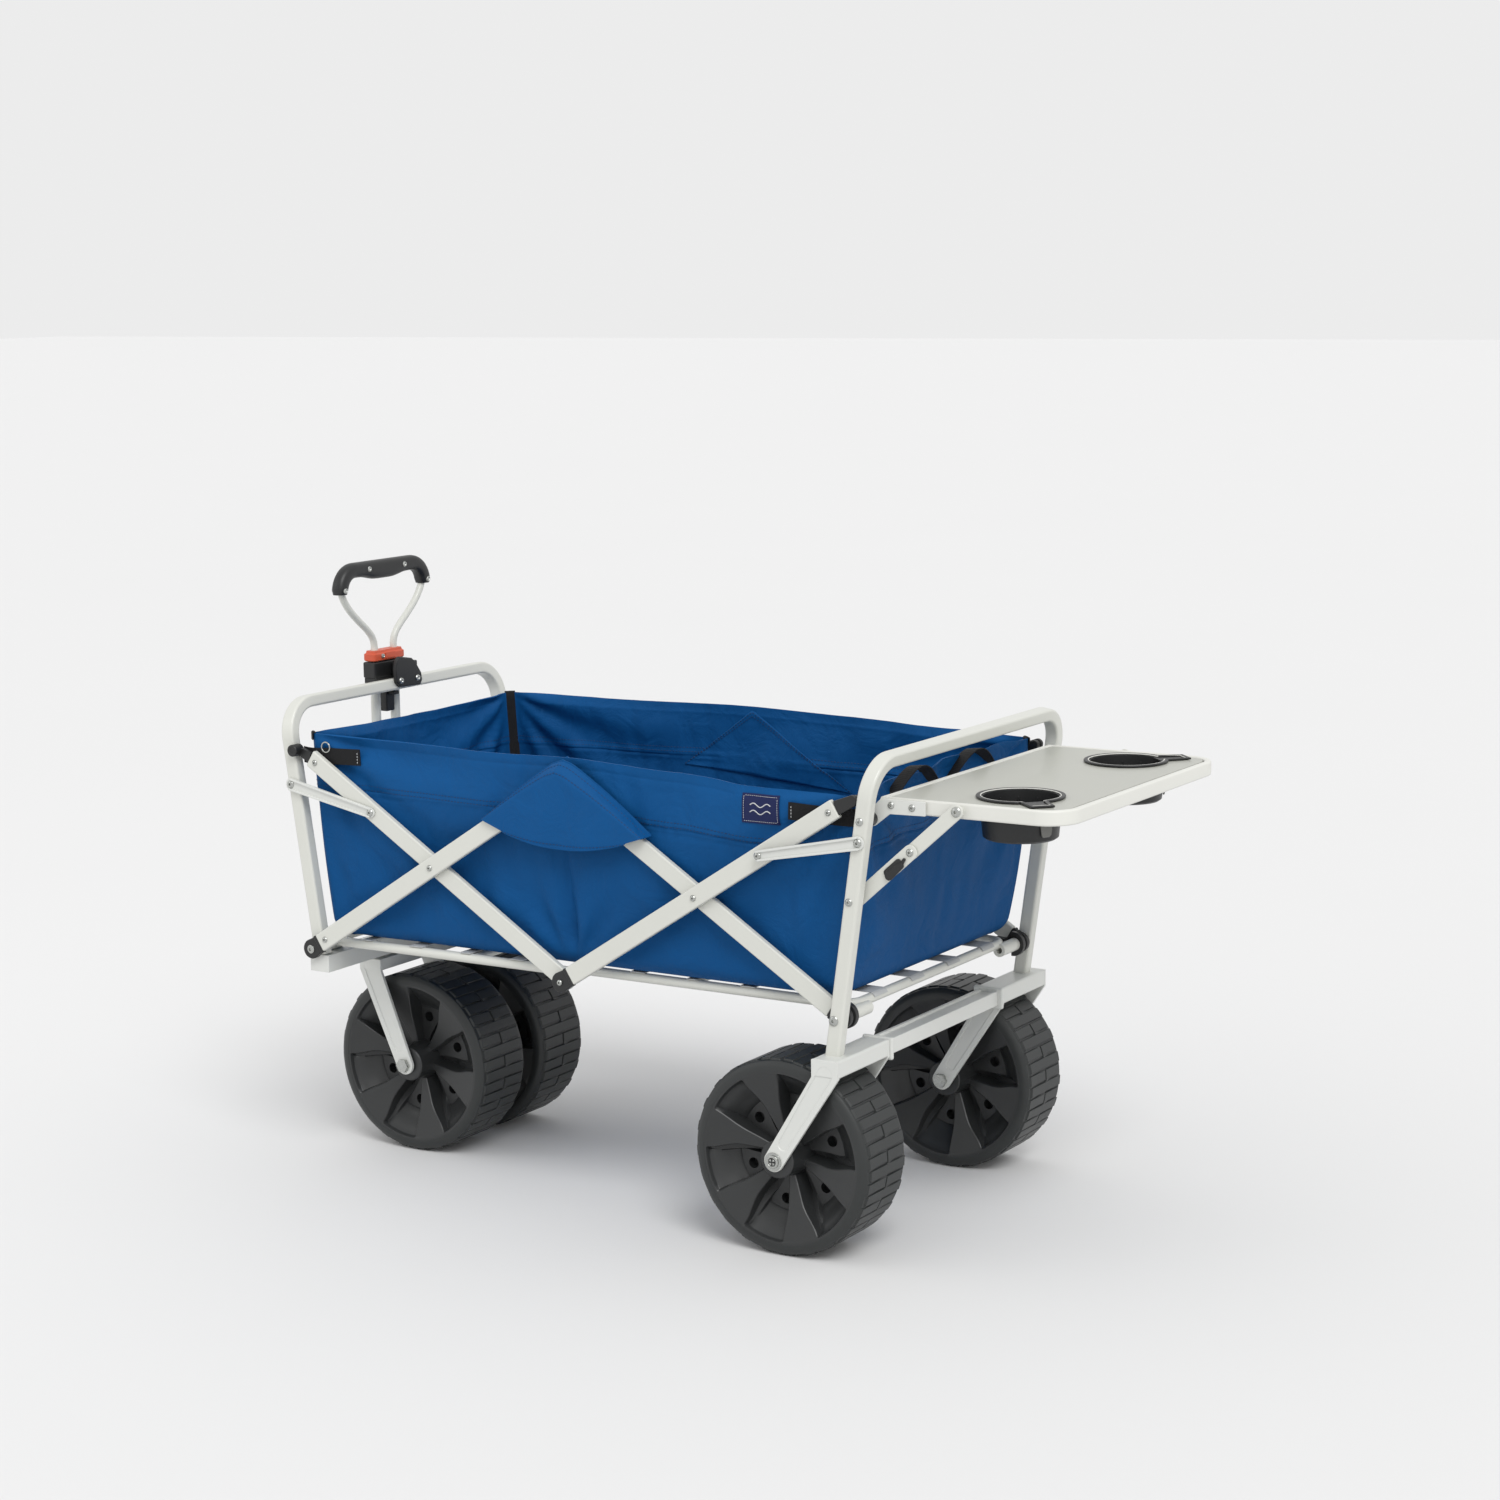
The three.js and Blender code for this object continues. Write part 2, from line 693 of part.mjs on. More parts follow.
// Side brackets: a plate along the table's edge and a tab down to the pivot in the leg.
const bracketY = [table.halfWidth + gap, table.halfWidth + 3.5];
for (const [name, side] of sides) {
  const { pivot, z } = table;
  const along = strip({ x: pivot.x + 12, z: 580 }, { x: 188, z: 580 }, 9, 9, true, false);
  const tab = strip(pivot, { x: 140, z: 579 }, 10, 9);
  const boss = pin(pivot.x, pivot.z, 8, on(side, [bracketY[0] + 1, rearLegY - tubeInPlane / 2 - gap]));
  const pivotPin = pin(pivot.x, pivot.z, rivetRadius, on(side, [240, rearLegY + 9.5]));
  add(
    `table_bracket_${name}`,
    join(plate(along, on(side, bracketY)), plate(tab, on(side, bracketY)), boss, pivotPin),
    paint,
  );
}

// Two-part braces: the upper bar is pinned to the table, the lower one to the leg.
const braceMiddle = between(brace.top, brace.foot, brace.upperShare);
const upperBraceY = [table.halfWidth + 5.5, table.halfWidth + 9];
const lowerBraceY = [table.halfWidth + 9.5, table.halfWidth + 12.2];
const braceLockY = [lowerBraceY[1] + gap, rearLegY - tubeInPlane / 2 - gap];
for (const [name, side] of sides) {
  add(
    `brace_upper_${name}`,
    join(
      plate(strip(brace.top, braceMiddle, 9, 9), on(side, upperBraceY)),
      pin(brace.top.x, brace.top.z, rivetRadius, on(side, [table.halfWidth - 10, upperBraceY[1] + 2])),
      pin(brace.top.x, brace.top.z, 6, on(side, [upperBraceY[0] - 4.5, upperBraceY[0] + 1])),
    ),
    paint,
  );
  add(
    `brace_lower_${name}`,
    join(
      plate(strip(braceMiddle, brace.foot, 9.5, 9.5), on(side, lowerBraceY)),
      pin(brace.foot.x, brace.foot.z, rivetRadius, on(side, [lowerBraceY[0], rearLegY + 9.5])),
      pin(braceMiddle.x, braceMiddle.z, 5, on(side, [lowerBraceY[1] - 1, lowerBraceY[1] + 1])),
    ),
    paint,
  );
  const lockFrom = towards(braceMiddle, brace.foot, 21);
  const lockTo = towards(braceMiddle, brace.foot, 40);
  add(
    `brace_lock_${name}`,
    plate(strip(lockFrom, lockTo, 7, 7, false, false), on(side, braceLockY)),
    blackPlastic,
  );
}

// ---------------------------------------------------------------- pull handle

const slideBore = innerTubeRadius + 0.6;

// The lower part: two open tubes on a boss that turns between the front beam's lugs.
function handleTubes() {
  const { inner } = handleLug;
  const boss = pin(handleX, handleFoot, 10, [1 - inner, inner - 1], 16);
  const bore = pin(handleX, handleFoot, rivetRadius + runningGap, [-inner, inner]);
  const tubes = sides.map(([, side]) =>
    cut(
      post(handleX, side * handleTubeY, outerTubeRadius, [handleFoot, outerTubeTop]),
      post(handleX, side * handleTubeY, slideBore, [handleFoot + 20, outerTubeTop + 1], 12),
    ),
  );
  return cut(join(boss, ...tubes), bore);
}
add("handle_tubes", handleTubes(), paint);

function handleCap() {
  const body = block([handleX - 10.5, handleX + 10.5], [-36, 36], [outerTubeTop + gap, 678]);
  const bores = sides.map(([, side]) =>
    post(handleX, side * handleTubeY, slideBore, [outerTubeTop - 1, 680], 12),
  );
  return cut(body, ...bores);
}
add("handle_cap", handleCap(), blackPlastic);

// The sliding loop: two straight tubes that spread into a wide bow under the grip.
const bow = [
  [handleTubeY, handleFoot + 40],
  [handleTubeY, 706],
  [34, 718],
  [60, 731],
  [82, 751],
  [93, 768],
];
const bowTop = 776;

// The line of the loop's top, from one end of the grip to the other.
function gripLine(foot) {
  const ends = gripHalfWidth - 2;
  const top = gripTop - 10;
  const corners = [
    at(handleX, ends, foot),
    at(handleX, ends, top),
    at(handleX, -ends, top),
    at(handleX, -ends, foot),
  ];
  return rounded(corners, 30);
}

function handleLoop() {
  const right = bow.map(([y, z]) => at(handleX, y, z));
  const left = bow.map(([y, z]) => at(handleX, -y, z)).reverse();
  return sweep([...right, ...gripLine(bowTop), ...left], circle(innerTubeRadius));
}

function handleGrip() {
  const path = gripLine(bowTop + 4);
  const bulge = block([handleX - 10, handleX + 10], [-38, 38], [gripTop - 27, gripTop - 12]);
  return join(sweep(path, roundedRectangle(21, 24, 9)), bulge);
}
add("handle_loop", handleLoop(), paint);
// the grip is moulded around the loop, so the loop's tube, a little enlarged, is cut out of it
const gripBore = sweep(gripLine(bowTop), circle(innerTubeRadius + gap));
add("handle_grip", cut(handleGrip(), gripBore), blackPlastic);

function handleCollar() {
  const body = block([handleX - 11, handleX + 11], [-35, 35], [679, 694]);
  const bores = sides.map(([, side]) =>
    post(handleX, side * handleTubeY, innerTubeRadius + gap, [678, 695], 12),
  );
  return cut(body, ...bores);
}
add("handle_collar", handleCollar(), redPlastic);

// The clip on the front frame's top bar that holds the handle upright.
function handleClip() {
  const topX = frontLegAt(frontTopHeight);
  const half = tubeAcross / 2;
  const [low, high] = [frontTopHeight - tubeInPlane / 2, frontTopHeight + tubeInPlane / 2];
  const ring = block([topX - half + 3.5, topX + half + 5], [2, 44], [low - 5, high + 5]);
  const raised = block([topX - half + 4, topX + half], [2, 36], [high + 2, high + 24]);
  const tongue = block([topX - half + 4, topX + half], [4, 22], [604, low - 2]);
  const tube = block([topX - half - 5, topX + half + 1.6], [-1, 47], [low - 1.4, high + 1.4]);
  return cut(join(ring, raised, tongue), tube);
}
add("handle_clip", handleClip(), blackPlastic);

// ---------------------------------------------------------------- place on the floor, centred

const box = new THREE.Box3().setFromObject(cart);
cart.position.set(-(box.min.x + box.max.x) / 2, -(box.min.y + box.max.y) / 2, 0);

export default cart;
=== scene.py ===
import json
import math

import bmesh
import bpy
from mathutils import Matrix, Vector, noise

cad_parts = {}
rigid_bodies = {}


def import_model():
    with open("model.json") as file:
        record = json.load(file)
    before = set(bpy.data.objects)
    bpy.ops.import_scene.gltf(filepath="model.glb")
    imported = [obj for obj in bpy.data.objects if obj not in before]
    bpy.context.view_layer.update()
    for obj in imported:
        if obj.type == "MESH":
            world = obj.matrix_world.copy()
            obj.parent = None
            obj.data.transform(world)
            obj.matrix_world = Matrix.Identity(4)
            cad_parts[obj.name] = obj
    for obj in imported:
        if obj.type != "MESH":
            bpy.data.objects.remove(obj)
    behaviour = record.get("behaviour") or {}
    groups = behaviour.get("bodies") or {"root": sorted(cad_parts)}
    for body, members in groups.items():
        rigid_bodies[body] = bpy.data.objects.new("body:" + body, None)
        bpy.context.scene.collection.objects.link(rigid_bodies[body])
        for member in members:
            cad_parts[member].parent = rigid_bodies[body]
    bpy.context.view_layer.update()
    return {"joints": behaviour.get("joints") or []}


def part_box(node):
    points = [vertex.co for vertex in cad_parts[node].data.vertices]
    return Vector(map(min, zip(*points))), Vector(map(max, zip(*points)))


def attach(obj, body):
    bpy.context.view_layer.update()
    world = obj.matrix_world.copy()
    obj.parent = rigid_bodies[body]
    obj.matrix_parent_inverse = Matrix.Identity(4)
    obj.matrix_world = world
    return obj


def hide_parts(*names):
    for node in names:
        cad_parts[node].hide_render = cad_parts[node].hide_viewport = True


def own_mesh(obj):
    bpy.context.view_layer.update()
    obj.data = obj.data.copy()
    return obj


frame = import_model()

MM = 0.001
FULL_TURN = 2 * math.pi
SIDES = (("near", -1), ("far", 1))
UP = Vector((0, 0, 1))


# ---------------------------------------------------------------- places taken from the frame

def box_of(node):
    low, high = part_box(node)
    return low / MM, high / MM


def middle_of(node):
    low, high = box_of(node)
    return (low + high) / 2


JOINT = {joint["name"]: Vector(joint["pos_m"]) / MM for joint in frame["joints"] if "pos_m" in joint}
AXLE_X = middle_of("rear_wheel_near").x


def at(x, y, z):
    """A place given from the floor under the middle of the rear axle."""
    return Vector((AXLE_X + x, y, z))


def beside(place, y):
    return Vector((place.x, y, place.z))


def flat(place):
    return beside(place, 0)


def towards(a, b, distance):
    return a + (b - a).normalized() * distance


REAR_PIN = JOINT["fold"]
MIDDLE_PIN = JOINT["middle_pivot_near"]
FRONT_PIN = JOINT["front_frame_pivot"]
REAR_CROSS = JOINT["rear_cross_near"]
FRONT_CROSS = JOINT["front_cross_near"]
REAR_TOP = 2 * REAR_CROSS - MIDDLE_PIN
MIDDLE_TOP = 2 * REAR_CROSS - REAR_PIN
FRONT_TOP = 2 * FRONT_CROSS - MIDDLE_PIN


# ---------------------------------------------------------------- materials


def set_inputs(made, values):
    """Sets a shader node's inputs. A value that is another node's output is linked instead."""
    for name, value in values.items():
        if isinstance(value, bpy.types.NodeSocket):
            made.id_data.links.new(value, made.inputs[name])
        else:
            made.inputs[name].default_value = value
    return made


def add_node(tree, kind, values, **settings):
    made = tree.nodes.new(f"ShaderNode{kind}")
    for name, value in settings.items():
        setattr(made, name, value)
    return set_inputs(made, values)


def shader(name, color, roughness, mottle=(4, 0.06), grain=(900, 0.08, 0.2), coat=0.0, metallic=0.0):
    """A procedural finish. mottle: scale and depth of its colour's unevenness. grain: scale, strength
    and height in millimetres of its fine bumps."""
    made = bpy.data.materials.new(name)
    made.use_nodes = True
    tree = made.node_tree
    place = add_node(tree, "TexCoord", {}).outputs["Object"]
    clouds = add_node(tree, "TexNoise", {"Scale": mottle[0], "Detail": 6, "Vector": place}).outputs["Fac"]
    dark, pale = [(*[min(1, c * share) for c in color], 1) for share in (1 - mottle[1], 1 + mottle[1])]
    tint = add_node(tree, "Mix", {}, data_type="RGBA")
    set_inputs(tint, {0: clouds, 6: dark, 7: pale})
    gloss = add_node(tree, "MapRange", {"To Min": roughness * 0.85, "To Max": min(1, roughness * 1.15)})
    set_inputs(gloss, {"Value": clouds})
    speck = add_node(tree, "TexNoise", {"Scale": grain[0], "Detail": 2, "Vector": place}).outputs["Fac"]
    bump = add_node(tree, "Bump", {"Strength": grain[1], "Distance": grain[2] * MM, "Height": speck})
    set_inputs(tree.nodes["Principled BSDF"], {
        "Metallic": metallic, "Coat Weight": coat, "Base Color": tint.outputs[2],
        "Roughness": gloss.outputs["Result"], "Normal": bump.outputs["Normal"],
    })
    return made


def woven(name, color, thread, roughness, depth=0.3, strength=0.35, specular=0.2, creases=0.0):
    """Cloth: two sets of threads crossing along the UV map, which is in metres, with soft small creases."""
    made = shader(name, color, roughness, mottle=(9, 0.12))
    tree = made.node_tree
    shade, bump = tree.nodes["Principled BSDF"], tree.nodes["Bump"]
    weave = {"Scale": FULL_TURN / (20 * thread * MM), "Distortion": 0.6, "Detail": 1,
             "Vector": add_node(tree, "UVMap", {}).outputs["UV"]}
    threads = [add_node(tree, "TexWave", weave, bands_direction=way).outputs["Fac"] for way in ("X", "Y")]
    cross = add_node(tree, "Math", {0: threads[0], 1: threads[1]}, operation="MAXIMUM")
    set_inputs(shade, {"Specular IOR Level": specular})
    set_inputs(bump, {"Strength": strength, "Distance": depth * MM, "Height": cross.outputs[0]})
    if creases:
        place = tree.nodes["Texture Coordinate"].outputs["Object"]
        wrinkles = add_node(tree, "TexNoise", {"Scale": 17, "Detail": 5, "Distortion": 1.6, "Vector": place})
        larger = add_node(tree, "Bump", {"Strength": creases, "Distance": 5 * MM})
        set_inputs(larger, {"Height": wrinkles.outputs["Fac"]})
        set_inputs(bump, {"Normal": larger.outputs["Normal"]})
    return made


PAINT = shader("powder_coat", (0.63, 0.635, 0.588), 0.36, (7, 0.025), (1400, 0.12, 0.1), 0.15)
PRESSED = shader("pressed_paint", (0.65, 0.66, 0.632), 0.4, (7, 0.03), (1400, 0.12, 0.1), 0.1)
BLACK = shader("moulded_black", (0.012, 0.0125, 0.013), 0.42, (20, 0.2), (1800, 0.35, 0.25))
TYRE = shader("tread_plastic", (0.021, 0.0235, 0.0235), 0.45, (14, 0.16), (700, 0.3, 0.3))
DISC = shader("disc_plastic", (0.024, 0.0255, 0.026), 0.38, (12, 0.2), (1200, 0.2, 0.2))
STRAP_PLASTIC = shader("grey_plastic", (0.16, 0.16, 0.15), 0.4, (20, 0.1), (1500, 0.3, 0.2))
RED = shader("moulded_red", (0.58, 0.085, 0.035), 0.38, (30, 0.1), (1500, 0.2, 0.2))
ZINC = shader("zinc_plate", (0.46, 0.47, 0.45), 0.27, (90, 0.12), (2500, 0.2, 0.1), metallic=1.0)
RIM = shader("table_rim", (0.70, 0.70, 0.655), 0.4, (8, 0.03), (1400, 0.1, 0.1))
BOARD = shader("table_board", (0.44, 0.445, 0.4), 0.42, (16, 0.035), (1100, 0.25, 0.2), 0.1)
# painted shade: a dark colour for the gap between the table's panel and its rim
SHADOW_GAP = shader("table_gap_shade", (0.11, 0.11, 0.10), 0.6)
FABRIC = woven("blue_polyester", (0.0035, 0.068, 0.215), 0.9, 0.62, specular=0.10, creases=0.72)
HEM = woven("blue_hem", (0.0037, 0.075, 0.236), 0.9, 0.58, specular=0.11, creases=0.66)
WEBBING = woven("black_webbing", (0.012, 0.012, 0.013), 1.7, 0.65, 0.6, 0.7)
STRAP_GREY = woven("pale_webbing", (0.50, 0.51, 0.51), 1.7, 0.7, 0.5, 0.6)
THREAD = shader("blue_thread", (0.003, 0.026, 0.095), 0.6, (300, 0.2))
PALE_THREAD = shader("pale_thread", (0.55, 0.56, 0.57), 0.6, (300, 0.1))
PATCH = woven("navy_patch", (0.012, 0.018, 0.075), 0.6, 0.6)


# ---------------------------------------------------------------- solids, each as (points, faces)

def polar(radius, turn):
    return radius * math.cos(turn), radius * math.sin(turn)


def turns(steps):
    return [FULL_TURN * i / steps for i in range(steps)]


def loft(rings, closed_rings=True, closed_path=False):
    """Faces between rings of the same number of points. The ends are closed unless the path is."""
    size = len(rings[0])
    points = [p for ring in rings for p in ring]
    faces = []
    for i in range(len(rings) if closed_path else len(rings) - 1):
        here = i * size
        there = (i + 1) % len(rings) * size
        for j in range(size if closed_rings else size - 1):
            k = (j + 1) % size
            faces.append([here + j, here + k, there + k, there + j])
    if not closed_path:
        faces.append(list(range(size))[::-1])
        faces.append(list(range(len(points) - size, len(points))))
    return points, faces


def sweep(path, section, side, closed=False):
    """A section carried along a path. side is the way its first axis points at the start."""
    rings = []
    count = len(path)
    across = Vector(side)
    for i, place in enumerate(path):
        before = path[i - 1] if closed or i else path[0]
        after = path[(i + 1) % count] if closed or i < count - 1 else path[-1]
        along = (after - before).normalized()
        across = (across - along * across.dot(along)).normalized()
        other = along.cross(across)
        rings.append([place + across * u + other * v for u, v in section])
    return loft(rings, closed_path=closed)


def ring_section(radius, steps=16):
    return [polar(radius, turn) for turn in turns(steps)]


def box_section(width, height, radius, steps=4):
    """A rounded rectangle, as a section."""
    points = []
    w, h = width / 2 - radius, height / 2 - radius
    for quarter, (u, v) in enumerate(((w, h), (-w, h), (-w, -h), (w, -h))):
        for i in range(steps + 1):
            du, dv = polar(radius, math.pi / 2 * (quarter + i / steps))
            points.append((u + du, v + dv))
    return points


def rounded(corners, radius, steps=10):
    """A path whose inner corners are arcs."""
    points = [corners[0]]
    for before, corner, after in zip(corners, corners[1:], corners[2:]):
        back = (before - corner).normalized()
        on = (after - corner).normalized()
        half = back.angle(on) / 2
        centre = corner + (back + on).normalized() * radius / math.sin(half)
        start = corner + back * radius / math.tan(half) - centre
        end = corner + on * radius / math.tan(half) - centre
        turn = start.angle(end)
        axis = start.cross(end).normalized()
        points += [centre + Matrix.Rotation(turn * s / steps, 3, axis) @ start for s in range(steps + 1)]
    return points + [corners[-1]]


def smooth_path(knots, steps=6):
    """A Catmull-Rom curve through the given points."""
    points = []
    for i, (b, c) in enumerate(zip(knots, knots[1:])):
        a, d = knots[max(i - 1, 0)], knots[min(i + 2, len(knots) - 1)]
        for t in [s / steps for s in range(steps)]:
            square = (2 * a - 5 * b + 4 * c - d) * t**2
            cube = (3 * b - a - 3 * c + d) * t**3
            points.append(0.5 * (2 * b + (c - a) * t + square + cube))
    return points + [knots[-1]]


def slab(outline, y0, y1):
    """A flat outline of (x, z) points, made into a plate between two Y values."""
    return loft([[Vector((x, y, z)) for x, z in outline] for y in (y0, y1)])


def plate(outline, side, face, thick):
    """A plate on one side of the cart, from a distance face to the middle plane outwards."""
    return slab(outline, side * face, side * (face + thick))


def block(x, y, z):
    """A brick between two values on each axis."""
    return slab([(x[0], z[0]), (x[1], z[0]), (x[1], z[1]), (x[0], z[1])], *y)


def strip(a, b, half_a, half_b, round_a=True, round_b=True, steps=12):
    """The outline of a flat bar from a to b, whose ends are square or half circles."""
    heading = math.atan2(b.z - a.z, b.x - a.x)
    points = []
    for centre, half, start, is_round in (
        (b, half_b, heading - math.pi / 2, round_b),
        (a, half_a, heading + math.pi / 2, round_a),
    ):
        for i in range(0, steps + 1, 1 if is_round else steps):
            dx, dz = polar(half, start + math.pi * i / steps)
            points.append((centre.x + dx, centre.z + dz))
    return points


def turned(profile, centre, axis="Y", steps=32, direction=1, closed=False):
    """A profile of (radius, distance along the axis) turned about an axis through centre."""
    order = {"X": (2, 0, 1), "Y": (0, 2, 1), "Z": (0, 1, 2)}[axis]
    rings = []
    for turn in turns(steps):
        spots = [(*polar(r, turn), h * direction) for r, h in profile]
        rings.append([centre + Vector([spot[k] for k in order]) for spot in spots])
    return loft(rings, closed_rings=closed, closed_path=True)


def rod(radius, start, end):
    """A round rod's profile, for turned."""
    return [(0, start), (radius, start), (radius, end), (0, end)]


def pipe(inner, outer, start, end):
    """A round pipe's profile, for turned with closed=True."""
    return [(inner, start), (outer, start), (outer, end), (inner, end)]


def pin(place, side, radius, start, end, steps=20):
    """A round pin along Y on one side, between two distances from the middle plane."""
    return turned(rod(radius, start, end), flat(place), "Y", steps, side)


# ---------------------------------------------------------------- making pieces

def link(name, data):
    made = bpy.data.objects.new(name, data)
    bpy.context.scene.collection.objects.link(made)
    return made


def soften(mesh, angle):
    """Smooth shading, except across edges sharper than an angle in degrees."""
    mesh.shade_smooth()
    mesh.set_sharp_from_angle(angle=math.radians(angle))


def link_mesh(name, solids, material, smooth=32):
    points, faces = [], []
    for solid_points, solid_faces in solids:
        start = len(points)
        points += [p * MM for p in solid_points]
        faces += [[start + i for i in face] for face in solid_faces]
    mesh = bpy.data.meshes.new(name)
    mesh.from_pydata(points, [], faces)
    work = bmesh.new()
    work.from_mesh(mesh)
    bmesh.ops.remove_doubles(work, verts=work.verts, dist=1e-6)
    bmesh.ops.recalc_face_normals(work, faces=work.faces)
    work.to_mesh(mesh)
    work.free()
    mesh.materials.append(material)
    soften(mesh, smooth)
    return link(name, mesh)


def add_modifier(made, name, kind, **settings):
    modifier = made.modifiers.new(name, kind)
    for setting, value in settings.items():
        setattr(modifier, setting, value)


def bevel(made, width, segments=2):
    add_modifier(made, "soft_edges", "BEVEL", width=width * MM, segments=segments, limit_method="ANGLE",
                 angle_limit=math.radians(40), harden_normals=True)
    return made


def apply_modifiers(made):
    graph = bpy.context.evaluated_depsgraph_get()
    done = bpy.data.meshes.new_from_object(made.evaluated_get(graph), depsgraph=graph)
    made.modifiers.clear()
    made.data = done


def flatten_faces(made):
    """Weights each corner's normal by the size of the faces round it, so flat faces look flat."""
    add_modifier(made, "weighted", "WEIGHTED_NORMAL", keep_sharp=True)
    apply_modifiers(made)


def drill(made, *tools):
    """Cuts tool objects out of a piece."""
    for tool in tools:
        add_modifier(made, "hole", "BOOLEAN", operation="DIFFERENCE", solver="EXACT", object=tool)
    apply_modifiers(made)
    for tool in tools:
        bpy.data.objects.remove(tool)


def belong(made, body, replaces=()):
    """Ties a piece to its body, and hides the parts it replaces."""
    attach(made, body)
    if replaces:
        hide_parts(*replaces)
    return made


def piece(name, solids, material, body, replaces=(), edge=0.0, smooth=32, segments=2):
    made = link_mesh(name, solids, material, smooth)
    if edge:
        bevel(made, edge, segments)
    return belong(made, body, replaces)


def sewn(made, replaces=()):
    """A piece of the tub, or sewn to it: it rides on the rear frame, with a mesh of its own."""
    belong(made, "rear_frame", replaces)
    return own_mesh(made)


# ---------------------------------------------------------------- rivets, screws and bolts

WASHER = 1.5  # how far a washer lifts a bolt's head off the arm


def rivet(place, side, face, radius=6.5):
    """A domed blind rivet on a face at the given distance from the middle plane."""
    tall = 1.9
    profile = [(0, -0.2), (0.24, -0.1), (0.30, 1.15), (0.42, 1.3), (0.66, 1.1), (0.88, 0.7), (1.0, 0.25),
               (1.0, -0.4), (0, -0.4)]
    return turned([(r * radius, h * tall) for r, h in profile], beside(place, side * face), "Y", 20, side)


def cross_recess(place, side, face):
    """A pan head with a raised rim and four raised quarters that leave a cross between them."""
    radius, tall, outer = 8.5, 1.6, 0.52 * 8.5
    head = [(0, 0.8), (0.62, 0.8), (0.68, 1.5), (0.82, 1.5), (1.0, 1.0), (1.0, 0), (0, 0)]
    solids = [turned([(r * radius, h * tall) for r, h in head], beside(place, side * face), "Y", 28, side)]
    for quarter in turns(4):
        outline = []
        for reach, spread in ((0.10 * radius, 0), (outer, -0.5), (outer * 1.05, 0), (outer, 0.5)):
            dx, dz = polar(reach, quarter + math.pi / 4 + spread)
            outline.append((place.x + dx, place.z + dz))
        solids.append(plate(outline, side, face + 1, 1.3))
    return solids


def bolt(axle, side, inner, outer):
    """Axle bolt: shank, washer and cross-recessed head outside, nut inside."""
    shank = pin(axle, side, 5.9, inner - 6, outer + 2, 24)
    washer = turned(pipe(6, 12, outer + 0.1, outer + WASHER), flat(axle), "Y", 32, side, closed=True)
    nut = slab([(axle.x + dx, axle.z + dz) for dx, dz in ring_section(10, 6)], side * (inner - 0.3),
               side * (inner - 6.5))
    return [shank, washer, nut, *cross_recess(axle, side, outer + WASHER)]


def recess_shade_disc(axle, side, face):
    """A black disc at the bottom of a bolt head's recess: painted shade in the cross recess."""
    return pin(axle, side, 5.1, face + 1.2, face + 1.45, 24)


# ---------------------------------------------------------------- tube frames and beams

LEAN = 0.148  # a leg's sideways travel per unit of height
FOOT_Z = 311
TUBE_IN_PLANE = 17
TUBE_ACROSS = 20


def leg_x(end, z):
    """The middle of a leg at height z. end is 1 at the rear and -1 at the front."""
    return AXLE_X + (79 if end == 1 else -752) + end * LEAN * (z - FOOT_Z)


def make_frames():
    for node, end in (("rear_frame", 1), ("front_frame", -1)):
        low, high = box_of(node)
        y = high.y - TUBE_IN_PLANE / 2
        top = high.z - TUBE_IN_PLANE / 2 - 0.5
        ends = ((-y, low.z), (-y, top), (y, top), (y, low.z))
        corners = [Vector((leg_x(end, z), reach, z)) for reach, z in ends]
        path = rounded(corners, 46, 14)
        tube = sweep(path, box_section(TUBE_IN_PLANE, TUBE_ACROSS, 3.6), (0, 1, 0))
        flatten_faces(piece(f"{node}_tube", [tube], PAINT, node, [node]))
    low, high = box_of("rear_beam")
    groove, y = 5, high.y + 2
    outline = [
        (low.x, low.z), (high.x, low.z), (high.x, high.z), (high.x - groove, high.z),
        (high.x - groove - 1, high.z - 3), (low.x + groove + 1, high.z - 3),
        (low.x + groove, high.z), (low.x, high.z),
    ]
    piece("rear_beam_channel", [slab(outline, -y, y)], PRESSED, "rear_frame", ["rear_beam"], edge=1.2)


# ---------------------------------------------------------------- forks and axles

ARM = 5  # thickness of a fork's arm
POCKET = 1.3  # depth of the stamped panel in it


def fork_arms(name, axle, x, z, plates, pockets):
    """Fork arms between two X and two Z values, round at the axle, with a stamped panel down each face."""
    radius = 13.5
    tangents = []
    for corner_x, side in ((x[0], 1), (x[1], -1)):
        dx, dz = corner_x - axle.x, z[0] - axle.z
        tangents.append(math.atan2(dz, dx) + side * math.acos(radius / math.hypot(dx, dz)))
    span = (tangents[1] - tangents[0]) % FULL_TURN
    arc = [polar(radius, tangents[0] + span * i / 24) for i in range(25)]
    outline = [(x[1], z[1]), (x[0], z[1]), (x[0], z[0]), *[(axle.x + dx, axle.z + dz) for dx, dz in arc],
               (x[1], z[0])]
    made = link_mesh(name, [slab(outline, *reach) for reach in plates], PRESSED)
    top = Vector((sum(x) / 2, 0, z[0] + 4))
    panel = strip(towards(flat(axle), top, 27), top, 7.2, 10.5)
    drill(made, *[link_mesh("pocket", [slab(panel, *reach)], PRESSED) for reach in pockets])
    return bevel(made, 1.0)


